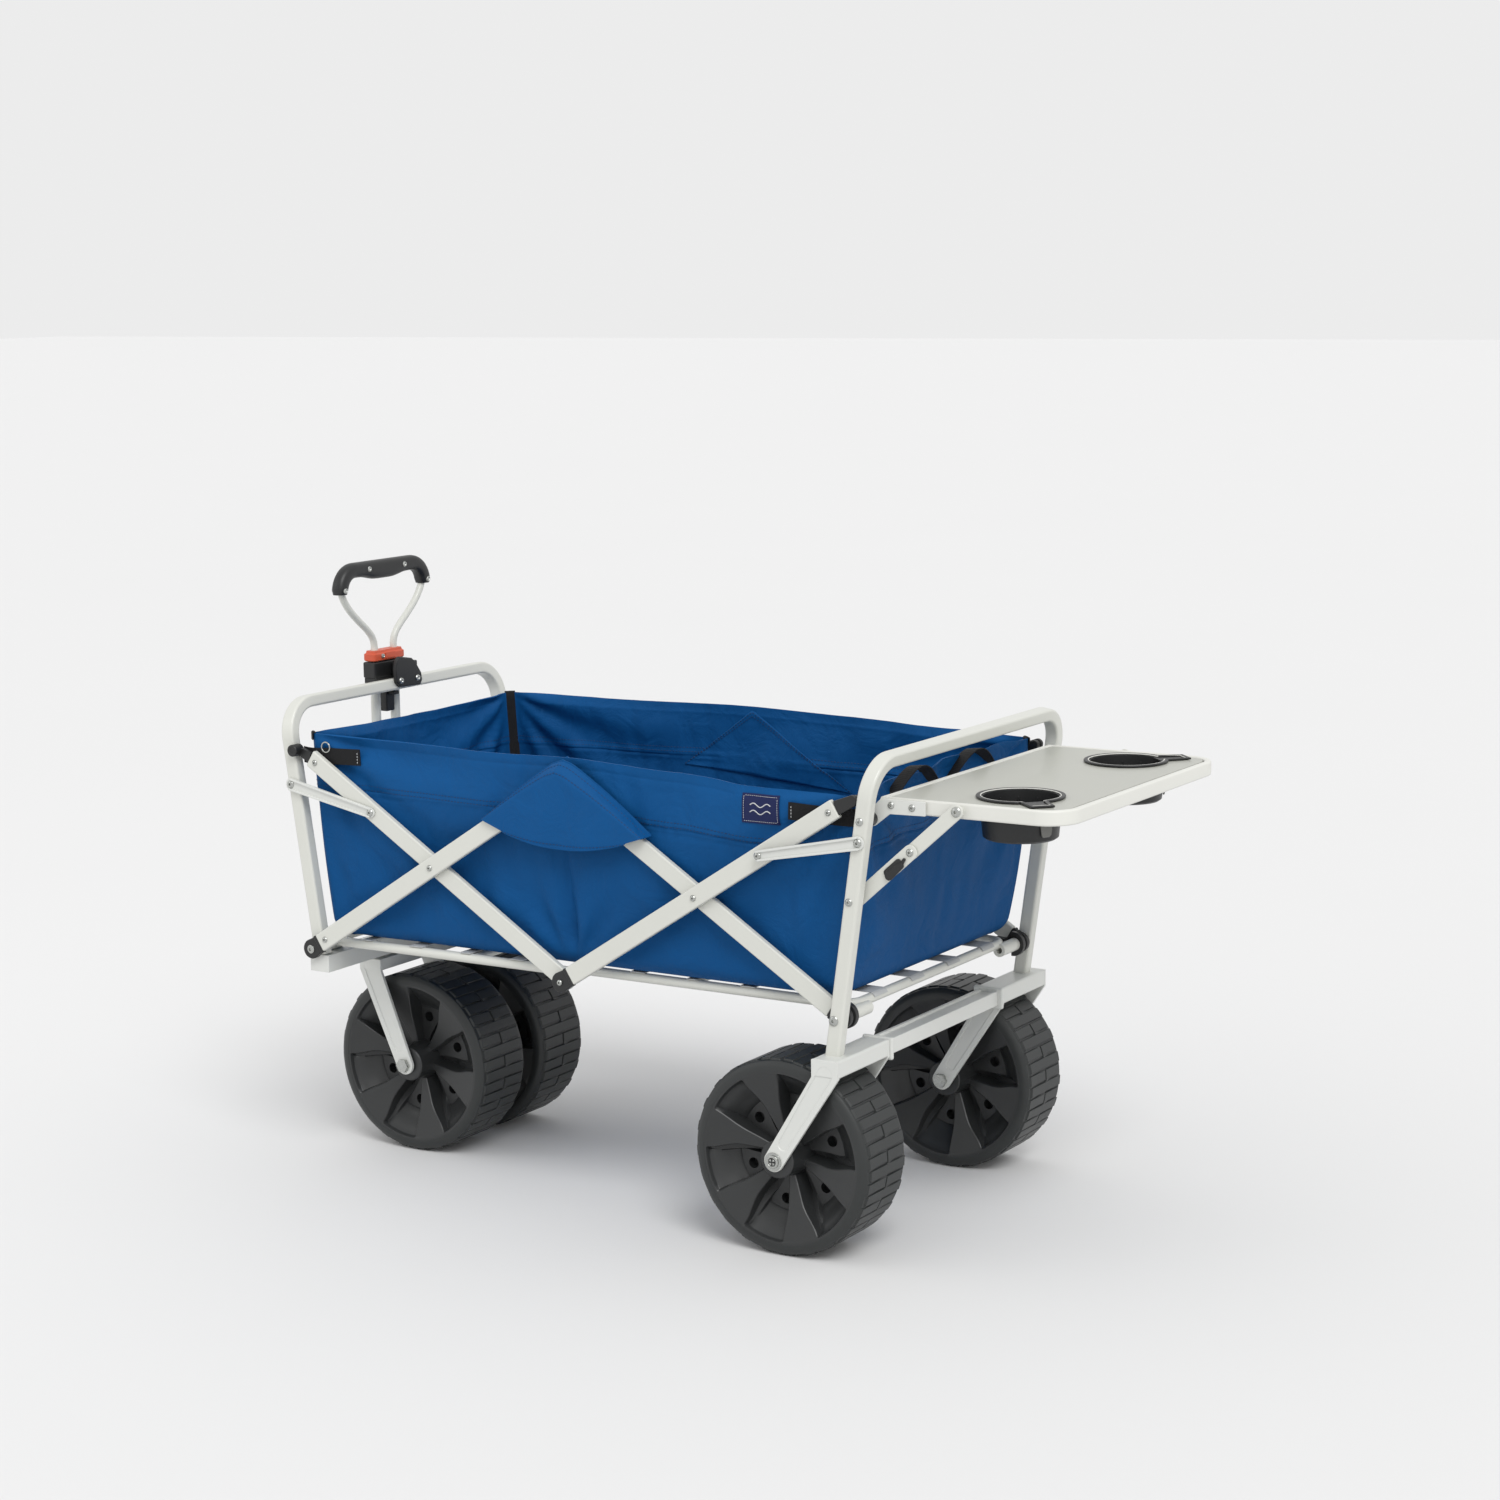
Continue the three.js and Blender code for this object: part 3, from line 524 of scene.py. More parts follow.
def make_rear_forks():
    x, z = (AXLE_X + 56, AXLE_X + 94), (243, 265.5)
    for name, side in SIDES:
        low, high = box_of(f"rear_fork_{name}")
        axle = middle_of(f"rear_wheel_{name}")
        inner, outer = sorted((abs(low.y), abs(high.y)))
        arms = [(side * inner, side * (inner + ARM)), (side * (outer - ARM), side * outer)]
        pockets = [(side * (outer - POCKET), side * (outer + 1)),
                   (side * (inner - 1), side * (inner + POCKET))]
        made = fork_arms(f"rear_fork_arms_{name}", axle, x, z, arms, pockets)
        belong(made, "rear_frame", [f"rear_fork_{name}"])
        span = (side * (inner + 0.3), side * (outer - 0.3))
        crown = [
            block((x[0] + 0.3, x[1] - 0.3), span, (z[0] + 0.2, z[1] + 0.6)),
            block((x[0] - 3, x[1] + 3), (side * (inner - 7), side * (inner - 0.5)), (z[0] - 5, z[1] + 2)),
        ]
        piece(f"rear_fork_crown_{name}", crown, PRESSED, "rear_frame", edge=3, segments=4)
        shaft = bolt(axle, side, inner, outer)
        piece(f"rear_axle_bolt_{name}", shaft, ZINC, "rear_frame", [f"rear_axle_{name}"], edge=0.4)
        # a black disc in the head's recess: painted shade
        floor = recess_shade_disc(axle, side, outer + WASHER)
        piece(f"rear_bolt_recess_{name}", [floor], BLACK, "rear_frame")


def make_caster():
    reach = box_of("caster_fork")[1].y
    axle = middle_of("front_wheel_near")
    x, z = (AXLE_X - 771, AXLE_X - 734), (258, 274)
    arms = [(reach - ARM, reach), (-reach, ARM - reach), (-ARM / 2, ARM / 2)]
    pockets = [(reach - POCKET, reach + 1), (-reach - 1, POCKET - reach)]
    belong(fork_arms("caster_arms", axle, x, z, arms, pockets), "caster", ["caster_fork"])
    stem = at(-752, 0, 0)
    cap = [(0, 302.4), (14.5, 302.4), (16, 303), (15.5, 304.6), (13, 305.8), (6, 306), (0, 306)]
    crown = [
        block((x[0] + 0.3, x[1] - 0.3), (0.3 - reach, reach - 0.3), (z[0] + 0.2, z[1] + 0.4)),
        turned(rod(18, 272, 277.6), stem, "Z", 40),
        turned(cap, stem, "Z", 40),
        turned(rod(11, 270, 304), stem, "Z", 32),
    ]
    piece("caster_crown", crown, PRESSED, "caster", edge=2, segments=3)
    face = reach + WASHER
    shaft = [*bolt(axle, 1, -reach, reach), *cross_recess(axle, -1, face)]
    piece("front_axle_bolt", shaft, ZINC, "caster", ["front_axle"], edge=0.4)
    # black discs in both heads' recesses: painted shade
    recess_shade_discs = [recess_shade_disc(axle, side, face) for _, side in SIDES]
    piece("front_bolt_recess_shade", recess_shade_discs, BLACK, "caster")


def make_front_beam():
    low, high = box_of("front_beam")
    x = (AXLE_X - 768, AXLE_X - 736)
    foot = JOINT["handle_tilt"]
    solids = [block(x, (low.y, high.y), (low.z, high.z))]
    for _, side in SIDES:
        solids.append(plate(strip(foot, Vector((x[0] + 6, 0, foot.z)), 9, 9, True, False), side, 36, 4))
        solids.append(rivet(foot, side, 40, 7))
    piece("front_beam_channel", solids, PRESSED, "front_frame", ["front_beam"], edge=1.6)


# ---------------------------------------------------------------- wheels

SPOKES = 6
SPOKE_START = 4.5  # degrees from straight down to a spoke's first edge
TREAD_PITCHES = 24
TREAD_R = 127
DISC_RADII = (27, 33, 40, 47, 54, 61, 68, 76, 77.5, 83, 89, 95, 101, 106.5, 107.3, 108.2, 109, 113.5)
HUB = ((6.5, 58), (20, 58), (22.5, 57.4), (24, 56), (24.8, 36))  # radius, distance from the middle


def blend_between(value, low, high):
    t = min(max((value - low) / (high - low), 0), 1)
    return t * t * (3 - 2 * t)


def face_height(level, r):
    """How far a disc face stands from the wheel's middle, for its spokes, pocket floors and slots."""
    spoke = 31 + 19.8 * min((r - 27) / 83, 1) ** 1.15
    outer = blend_between(r, 106.5, 109)
    if level == "spoke":
        return spoke
    if level == "edge":
        return spoke - (1 - outer)
    if level == "floor":
        deep = 18 if r <= 76 else 19.5 + 27 * blend_between(r, 74, 112)
    else:
        deep = 9 + 34 * max((r - 52) / 56, 0) ** 0.9
    return deep + (spoke - deep) * outer


def face_columns(r):
    """The angles and levels around one sixth of a disc face, at radius r."""
    chamfer, wall = math.degrees(1.1 / r), math.degrees(2.0 / r)
    slot = 11 * min(max((110 - r) / 70, 0), 1)
    spread = blend_between(r, 60, 104)
    start = SPOKE_START - 3 * spread
    columns = [(start, "edge"), (start + chamfer, "spoke"), (11, "spoke"), (17, "spoke")]
    end = start + 60 - wall
    start = SPOKE_START + 19.5 + 6 * spread
    columns += [(start - chamfer, "spoke"), (start, "edge")]
    start += wall
    columns += [(start, "slot"), (start + slot * 0.5, "slot"), (start + slot, "slot")]
    start += slot + wall
    return columns + [(start + (end - start) * k / 7, "floor") for k in range(8)]


def disc_solid():
    """Both faces of a wheel's disc, from its hub to its rim."""
    def around(r):
        sectors = [60 * k for k in range(SPOKES)]
        return [(math.radians(start + a), level) for start in sectors for a, level in face_columns(r)]

    rings = []
    for side in (-1, 1):
        face = [[(r, turn, h) for turn, _ in around(DISC_RADII[0])] for r, h in HUB]
        face += [[(r, turn, face_height(level, r)) for turn, level in around(r)] for r in DISC_RADII]
        for ring in face[::-side]:
            rings.append([Vector((r * math.sin(t), side * h, -r * math.cos(t))) for r, t, h in ring])
    return loft(rings, closed_path=True)


def in_groove(kind, even, y):
    """Whether a point of the tread is cut away: stepped main grooves, and short ones between them."""
    if kind == "groove":
        return (y <= 0.9 or y >= 18) if even else (y >= -0.9 or y <= -18)
    return even and abs(y) <= 0.9


def tyre_solid():
    """The tread: two staggered rows of blocks on a smooth shoulder, whose outer ends step in and out."""
    half_pitch = math.pi / TREAD_PITCHES
    edge, floor = 1.9 / TREAD_R, 1.0 / TREAD_R
    across = (-18.8, -18, -1.7, -0.9, 0.9, 1.7, 18, 18.8)
    groove_depth, shoulder_step = 2.4, 3.4
    rings = []
    for k in range(2 * TREAD_PITCHES):
        even = k % 2 == 0
        lines = ((-edge, "block", not even), (-floor, "groove", even), (floor, "groove", even),
                 (edge, "block", even), (half_pitch / 2, "block", even))
        for shift, kind, parity in lines:
            turn = k * half_pitch + shift
            profile = []
            for side in (-1, 1):
                step = 0 if parity == (side == -1) else shoulder_step
                top = 125.6 if kind == "groove" else TREAD_R
                row = [(112, 50.9), (117, 50.6), (121.3, 49.0), (124.2, 46.6), (124.9, 45.0 - step),
                       (top, 43.4 - step)]
                row = [(r, side * h) for r, h in row]
                if side == 1:
                    row.reverse()
                    profile += [(TREAD_R - groove_depth * in_groove(kind, parity, y), y) for y in across]
                profile += row
            rings.append([Vector((r * math.sin(turn), h, -r * math.cos(turn))) for r, h in profile])
    return loft(rings, closed_path=True)


def wheel_meshes():
    """A disc with its bolt holes, and a tyre: the meshes that all four wheels share."""
    disc = link_mesh("wheel_disc", [disc_solid()], DISC, 28)
    tyre = link_mesh("wheel_tyre", [tyre_solid()], TYRE, 24)
    tools = []
    for face in (-1, 1):
        for k in range(SPOKES):
            x, z = polar(62, math.radians(60 * k + 51) - math.pi / 2)
            hole = turned(rod(7.2, -9, 9), Vector((x, face * 12, z)), "Y", 24)
            tools.append(link_mesh("hole", [hole], BLACK))
    drill(disc, *tools)
    soften(disc.data, 28)
    meshes = {"disc": disc.data, "tyre": tyre.data}
    bpy.data.objects.remove(disc)
    bpy.data.objects.remove(tyre)
    return meshes


def make_wheels():
    meshes = wheel_meshes()
    for place in ("rear", "front"):
        for name, _ in SIDES:
            node = f"{place}_wheel_{name}"
            for label, mesh in meshes.items():
                made = link(f"{node}_{label}", mesh)
                made.location = middle_of(node) * MM
                belong(made, node, [node] if label == "disc" else ())


# ---------------------------------------------------------------- scissor bars, links and fittings

INNER_Y = (237.8, 246.8)
OUTER_Y = (247.6, 256.6)
BAR_HALF = 12.5
END_TRIM = 17
TOP_TRIM = 1
PIN_R = 3.9
HEAD_R = 4.2


def bar(a, b, band, side, trim_a, trim_b):
    """A side bar. An end is trimmed back where a moulded fitting takes over, and square there."""
    start, end = towards(flat(a), flat(b), trim_a), towards(flat(b), flat(a), trim_b)
    return slab(strip(start, end, BAR_HALF, BAR_HALF, not trim_a, not trim_b), side * band[0], side * band[1])


def fitting(eye, other, band, side):
    """A moulded end: an eye round the pin, and a neck that goes into the bar."""
    def along(distance):
        return towards(flat(eye), flat(other), distance)

    neck = strip(flat(eye), along(END_TRIM + 6), 13.6, 10.5, True, False, 18)
    collar = strip(along(12.5), along(END_TRIM - 0.5), 12.9, 12.9, False, False)
    return [slab(neck, side * (band[0] + 0.4), side * (band[1] - 0.4)),
            slab(collar, side * band[0], side * band[1])]


def make_bars():
    bars = (
        ("rear_inner_bar", REAR_PIN, MIDDLE_TOP, INNER_Y, END_TRIM, 0),
        ("rear_outer_bar", MIDDLE_PIN, REAR_TOP, OUTER_Y, END_TRIM, TOP_TRIM),
        ("front_inner_bar", MIDDLE_PIN, FRONT_TOP, INNER_Y, 0, TOP_TRIM),
        ("front_outer_bar", FRONT_PIN, MIDDLE_TOP, OUTER_Y, END_TRIM, 0),
    )
    face = OUTER_Y[1]
    heads = (
        ("rear_inner_bar", [(REAR_CROSS, face)]),
        ("front_inner_bar", [(MIDDLE_PIN, face + 0.6), (FRONT_CROSS, face)]),
        ("rear_outer_bar", [(towards(REAR_TOP, MIDDLE_PIN, 12), face)]),
        ("front_outer_bar", [(towards(FRONT_PIN, MIDDLE_TOP, 30), face)]),
    )
    for name, side in SIDES:
        for node, *shape in bars:
            body = f"{node}_{name}"
            a, b, band, trim_a, trim_b = shape
            tube = bar(a, b, band, side, trim_a, trim_b)
            piece(f"{body}_tube", [tube], PAINT, body, [body], edge=2.2, segments=3)
        for node, places in heads:
            rivets = [rivet(place, side, height, HEAD_R) for place, height in places]
            piece(f"{node}_rivets_{name}", rivets, ZINC, f"{node}_{name}")
        make_foot_fittings(name, side)
        make_top_fittings(name, side)


def make_foot_fittings(name, side):
    """The moulded ends round the pins along the floor, and what holds the bars' feet to the legs."""
    low = flat(REAR_PIN)
    rear, middle, front = f"rear_inner_bar_{name}", f"rear_outer_bar_{name}", f"front_outer_bar_{name}"
    piece(f"rear_foot_eye_{name}", fitting(REAR_PIN, MIDDLE_TOP, INNER_Y, side), BLACK, rear,
          [f"rear_foot_fitting_{name}"], edge=1.5)
    piece(f"rear_foot_pin_{name}", [pin(low, side, PIN_R, 226, 265), rivet(low, side, 264.8)], ZINC, rear)
    # a D-shaped moulding on the leg's inner side, with a block and a bolt that hold the rail
    flat_x, half = low.x - 5, 17
    outline = [(flat_x, low.z - half)]
    for k in range(17):
        dx, dz = polar(half, math.radians(10 * k - 80))
        outline.append((low.x - 3 + dx, low.z + dz))
    outline.append((flat_x, low.z + half))
    boot = [plate(outline, side, 225.2, 7.8),
            block((low.x - 27, low.x - 10), (side * 214, side * 226), (low.z - 9, low.z + 9))]
    head = [(0, 212.6), (3.6, 212.6), (4.6, 213.2), (4.8, 214.4), (0, 214.4)]
    block_bolt = turned(head, low - Vector((18.5, 0, 0)), "Y", 20, side)
    piece(f"rear_foot_bolt_{name}", [block_bolt], ZINC, "rear_frame")
    piece(f"rear_foot_boot_{name}", boot, BLACK, "rear_frame", edge=1)

    piece(f"middle_eye_{name}", fitting(MIDDLE_PIN, REAR_TOP, OUTER_Y, side), BLACK, middle,
          [f"middle_fitting_{name}"], edge=1.5)
    piece(f"front_foot_eye_{name}", fitting(FRONT_PIN, MIDDLE_TOP, OUTER_Y, side), BLACK, front,
          [f"front_foot_fitting_{name}"], edge=1.5)
    head = [(0, 257), (2.0, 257), (2.4, 258.6), (4.6, 258.4), (5.9, 257.4), (6.1, 256.3), (0, 256.3)]
    solids = [pin(FRONT_PIN, side, PIN_R, 219, 256), turned(head, flat(FRONT_PIN), "Y", 28, side)]
    piece(f"front_foot_pin_{name}", solids, ZINC, front)


def make_top_fittings(name, side):
    """Moulded hooks in the bars' top ends, resting against the legs."""
    tip = flat(REAR_TOP) + Vector((22, 0, 10))
    edge = towards(flat(REAR_TOP), flat(MIDDLE_PIN), 0.4)
    hook = [plate(strip(edge, tip, 9.4, 7.2, False, True), side, 248.6, 6.8),
            plate(strip(edge.lerp(tip, 0.55), tip, 7, 6), side, 240, 9)]
    body = f"rear_outer_bar_{name}"
    piece(f"rear_top_hook_{name}", hook, BLACK, body, [f"rear_top_fitting_{name}"], edge=1.2)

    tip = flat(FRONT_TOP) + Vector((-22, 0, 9))
    edge = towards(flat(FRONT_TOP), flat(MIDDLE_PIN), 0.4)
    knob = [(0, 239), (7.4, 239), (8.2, 240), (8.2, 255.4), (7, 256.6), (4.4, 256.6), (4, 255.6), (0, 255.6)]
    hook = [plate(strip(edge, tip, 7.6, 5.4, False, True), side, 239.4, 6), turned(knob, tip, "Y", 28, side)]
    body = f"front_inner_bar_{name}"
    piece(f"front_top_hook_{name}", hook, BLACK, body, [f"front_top_fitting_{name}"], edge=1.0)
    screw = rivet(towards(FRONT_TOP, MIDDLE_PIN, 12), side, INNER_Y[1], HEAD_R)
    piece(f"front_top_rivet_{name}", [screw], ZINC, body)


def make_links():
    """Short pressed links from the legs to the outer bars, with a shallow channel along them."""
    ends = (("rear", REAR_CROSS, REAR_TOP, 264.9), ("front", FRONT_CROSS, FRONT_TOP, 247.7))
    for name, side in SIDES:
        for end, cross, top, face in ends:
            node = f"{end}_link_{name}"
            a, b = flat(JOINT[f"{node}_pivot"]), flat(towards(cross, top, 122))
            solids = [plate(strip(a, b, 8.6, 6.8, steps=16), side, face, 2.2)]
            along = (b - a).normalized()
            for shift in (-1, 1):
                across = Vector((-along.z, 0, along.x)) * shift
                rim = strip(a + across * 7, b + across * 5.4, 1.5, 1.4, steps=8)
                solids.append(plate(rim, side, face, 4.9))
            piece(f"{node}_pressed", solids, PRESSED, node, [node], edge=0.7)
            heads = [rivet(a, side, face + 2.4, 5.6), rivet(b, side, face + 2.4, 5.2)]
            if end == "rear":
                heads.append(pin(b, side, 4, OUTER_Y[1] + 0.3, face + 1, 16))
            piece(f"{node}_rivets", heads, ZINC, node)


# ---------------------------------------------------------------- floor rails and their straps

RAIL_R = 6.5
RAIL_Z = 318
SLING_THICK = 0.9


def make_floor_rails():
    for end, hinge, direction, y, boss in (
        ("rear", REAR_PIN, 1, 206, (180, 237.3)),
        ("front", FRONT_PIN, -1, 222, (192, 229.8)),
    ):
        turn, tip = hinge.x - direction * 6, MIDDLE_PIN.x + direction * 8
        cross = hinge.x + (MIDDLE_PIN.x - hinge.x) * 0.6
        corners = [Vector((x, s * y, RAIL_Z)) for x, s in ((tip, -1), (turn, -1), (turn, 1), (tip, 1))]
        solids = [sweep(rounded(corners, 22, 12), ring_section(RAIL_R, 18), UP),
                  sweep([Vector((cross, s * y, RAIL_Z)) for s in (-1, 1)], ring_section(RAIL_R - 1), UP)]
        for _, side in SIDES:
            solids.append(turned(pipe(4.5, 8.8, *boss), flat(hinge), "Y", 24, side, closed=True))
        piece(f"floor_rail_{end}_tube", solids, PAINT, f"floor_{end}", [f"floor_rail_{end}"], smooth=40)
        make_slings(f"floor_{end}", hinge, direction, y)


def make_slings(body, hinge, direction, y):
    """Webbing sewn under the tub and led over the rails: short ends at the sides, wide ones at the end."""
    solids = []
    around = RAIL_R + 0.8
    top = UP * around
    for _, side in SIDES:
        for k in range(4):
            place = Vector((hinge.x - direction * (74 + 84 * k), side * y, RAIL_Z)) + top
            path = [place + Vector((0, side * out, 0)) for out in (5, 0, -24)]
            solids.append(ribbon(path, 16 + 6 * (k % 2), (1, 0, 0), SLING_THICK))
    for k in range(4):
        place = Vector((hinge.x - direction * 6, (k - 1.5) * 98, RAIL_Z))
        path = []
        for i in range(9):
            out, rise = polar(around, math.pi * (0.08 + 0.42 * i / 8))
            path.append(place + Vector((direction * out, 0, rise)))
        path += [place + Vector((-direction * inward, 0, around)) for inward in (18, 40)]
        solids.append(ribbon(path, 33, (0, 1, 0), SLING_THICK))
    strap_uv(piece(f"{body}_slings", solids, STRAP_GREY, body, smooth=40))


# ---------------------------------------------------------------- the fabric tub

WALL_Y_TOP = 231.0  # to the middle of the cloth
WALL_Y_BOTTOM = 228.0
FLOOR_Z = 327.5
DEEP = 275.0  # from the floor to the top edge, nearly everywhere
FOOT = 24.0  # radius where the walls turn into the floor
BAND = 74.0  # depth of the doubled band round the top
FRONT_X, REAR_X = -768, 93  # the ends of the tub's top edge
NEAR_TOP = [(FRONT_X, 607), (-617, 605), (-451, 602), (-343, 604), (-169, 597), (-50, 588), (REAR_X, 587)]
FAR_TOP = [(FRONT_X, 606), (-600, 607), (-363, 611), (-180, 607), (-14, 601), (REAR_X, 597)]


def clamped(share):
    return min(max(share, 0), 1)


def hump(value, middle, width):
    """A bell curve that is 1 at the middle."""
    return math.exp(-(((value - middle) / width) ** 2))


def between_knots(knots, x):
    """A smooth value at x from (x, value) pairs."""
    if x <= knots[0][0]:
        return knots[0][1]
    for (x0, v0), (x1, v1) in zip(knots, knots[1:]):
        if x <= x1:
            return v0 + (v1 - v0) * blend_between(x, x0, x1)
    return knots[-1][1]


def wall_ends(z):
    """The front and rear ends of the tub at height z: they lean out, and belly out between."""
    belly = math.sin(math.pi * clamped((z - FLOOR_Z) / DEEP))
    return -742 - 0.096 * (z - FLOOR_Z) - 3 * belly, 67 + 0.115 * (z - FLOOR_Z) + 9 * belly


def wall_half_width(z):
    share = clamped((z - FLOOR_Z) / 150)
    return WALL_Y_BOTTOM + (WALL_Y_TOP - WALL_Y_BOTTOM) * (1 - (1 - share) ** 2)


def ripple(x, y, z):
    """Soft unevenness of loose cloth."""
    wide = noise.noise(Vector((x / 150, y / 150, z / 90)))
    fine = noise.noise(Vector((x / 46 + 7, y / 46, z / 60)))
    drape = noise.noise(Vector((x / 26 + z / 190, y / 26, z / 240 + 3)))
    return 4.6 * wide + 1.6 * fine + 1.5 * drape


def fan(x, z, corner_x, corner_z, reach, count, phase):
    """Folds that fan out from a corner where the cloth is held."""
    dx, dz = x - corner_x, z - corner_z
    distance = math.hypot(dx, dz)
    if distance > reach or distance < 1:
        return 0.0
    fade = blend_between(distance, 0, 50) * (1 - blend_between(distance, reach * 0.4, reach))
    return fade * math.sin(math.atan2(dz, dx) * count + phase)


def seam_pinch(drop, along):
    """Cloth drawn in along a row of stitching, with small puckers on both sides of it."""
    pinch = 0.0
    for seam, pull in ((13.0, 0.9), (BAND - 1, 2.0), (BAND + 6, 1.5)):
        pucker = math.sin(along / 4.3 + 2.5 * math.sin(along / 31))
        pucker *= noise.noise(Vector((along / 40, seam, 0)))
        pinch += pull * hump(drop, seam, 2.0) - 1.6 * pull * hump(drop, seam, 12) * pucker
    return pinch


def side_swell(x, z, side):
    """How far a side wall's cloth stands out from its flat place."""
    low = blend_between(z, FLOOR_Z, FLOOR_Z + 60)
    high = 1 - blend_between(z, 560, 606)
    loose = 1.7 * ripple(x, side * WALL_Y_TOP, z) * low * (0.5 + 0.5 * high)
    loose += 5.0 * fan(x, z, -775, 606, 400, 15, 0.4)
    loose += 4.0 * fan(x, z, 100, 590, 330, 15, 1.3)
    loose += 3.4 * fan(x, z, -341, 320, 190, 11, 0.3) * low
    loose += 2.6 * fan(x, z, -770, 330, 170, 10, 1.0) * low
    crease = hump(x, -338 - 0.06 * (z - 400), 5) * (1 - blend_between(z, 470, 520))
    second = hump(x, -316 + 0.10 * (z - 400), 8) * (1 - blend_between(z, 440, 510))
    loose += (3.0 * second - 4.5 * crease) * low
    drawn = math.sin(math.pi * clamped((z - FLOOR_Z) / 270))
    loose -= 1.2 + drawn * math.sin(math.pi * clamped((x + 770) / 870))
    loose -= 0.8 * seam_pinch(between_knots(NEAR_TOP if side == -1 else FAR_TOP, x) - z, x)
    front, rear = wall_ends(z)
    held = blend_between(x, front + 8, front + 64) * (1 - blend_between(x, rear - 64, rear - 8))
    return min(loose, 2.2 + 0.15 * loose) * held


def end_swell(y, z, end):
    """How far an end wall's cloth stands out from its flat place."""
    low = blend_between(z, FLOOR_Z, FLOOR_Z + 60)
    loose = ripple(end * 700 + 90, y, z) * low * 1.3
    loose += 4.0 * fan(y, z, -235, 606, 300, 13, 0.2) + 4.0 * fan(y, z, 235, 606, 300, 13, 2.0)
    loose += 1.6 * math.sin(y / 19.0 + 2 * math.sin(y / 60)) * blend_between(z, 530, 600)
    loose -= 0.8 * seam_pinch(top_edge(0, y, "rear" if end == 1 else "front") - z, y)
    return min(loose, 4.0 + 0.12 * loose)


def top_edge(x, y, wall):
    if wall in ("near", "far"):
        return between_knots(NEAR_TOP if wall == "near" else FAR_TOP, x)
    share = clamped((y + WALL_Y_TOP) / (2 * WALL_Y_TOP))
    end_x = FRONT_X if wall == "front" else REAR_X
    near, far = between_knots(NEAR_TOP, end_x), between_knots(FAR_TOP, end_x)
    level, arch = near + (far - near) * share, math.sin(math.pi * share)
    if wall == "front":
        return level - 4 * arch
    return level + 9 * arch - 3.2 * arch * math.cos(share * 6 * math.pi)


CORNER_R = 15.0
WALLS = ("near", "rear", "far", "front")
WALL_STEPS = {"near": 210, "rear": 112, "far": 210, "front": 112}
CORNER_STEPS = 8


def tub_round():
    """Steps round the tub, each (wall, corner number or None, share along the wall or round the corner)."""
    steps = []
    for corner, wall in enumerate(WALLS):
        count = WALL_STEPS[wall]
        steps += [(wall, None, (i + 0.5) / count) for i in range(count)]
        steps += [(wall, corner, (i + 0.5) / CORNER_STEPS) for i in range(CORNER_STEPS)]
    return steps


def flat_cloth(step, z):
    """Where a step round the tub stands at height z before any folds: x, y, and the way out there."""
    wall, corner, share = step
    (front, rear), half, r = wall_ends(z), wall_half_width(z), CORNER_R
    if corner is not None:
        cx = rear - r if corner < 2 else front + r
        cy = half - r if corner in (1, 2) else r - half
        turn = math.pi / 2 * (corner - 1 + share)
        return cx + r * math.cos(turn), cy + r * math.sin(turn), polar(1, turn)
    along, across = (rear - front - 2 * r) * share, (2 * half - 2 * r) * share
    return {
        "near": (front + r + along, -half, (0, -1)),
        "far": (rear - r - along, half, (0, 1)),
        "rear": (rear, r - half + across, (1, 0)),
        "front": (front, half - r - across, (-1, 0)),
    }[wall]


def tub_point(step, share=None, z=None):
    """A point of the cloth, from the rear axle, and the way out of the tub there. Its height is z, or a
    share of the way from the floor to the top edge."""
    wall, corner, along = step
    if z is None:
        x, y, _ = flat_cloth(step, 600)
        top = top_edge(x, y, wall)
        if corner is not None:
            top += (top_edge(x, y, WALLS[(corner + 1) % 4]) - top) * along
        z = FLOOR_Z + (top - FLOOR_Z) * share
    x, y, out = flat_cloth(step, z)
    if corner is None and wall in ("near", "far"):
        side = -1 if wall == "near" else 1
        y += side * side_swell(x, z, side)
    elif corner is None:
        end = 1 if wall == "rear" else -1
        x += end * end_swell(y, z, end) * min(1, along * 14, (1 - along) * 14)
    # the foot of the wall turns in under a soft radius
    if z < FLOOR_Z + FOOT:
        inward = FOOT - math.sqrt(max(FOOT**2 - (FLOOR_Z + FOOT - z) ** 2, 0))
        x -= out[0] * inward
        y -= out[1] * inward
    return Vector((x, y, z)), Vector((*out, 0))


def cloth_rows():
    """Shares of the wall's height, closer together at the foot and along the seams."""
    foot = [0, 0.0012, 0.005, 0.011, 0.019, 0.029, 0.042, 0.058, 0.078]
    drops = [BAND + more for more in (40, 28, 18, 12, 8.5, 6, 4, 1.2, 0, -2, -5)]
    drops += [62, 54, 46, 38, 30, 22, 17, 14.5, 13, 11.5, 9, 5, 2, 0]
    upper = [1 - drop / DEEP for drop in drops]
    steps = 20
    return foot + [foot[-1] + (upper[0] - foot[-1]) * k / steps for k in range(1, steps)] + upper


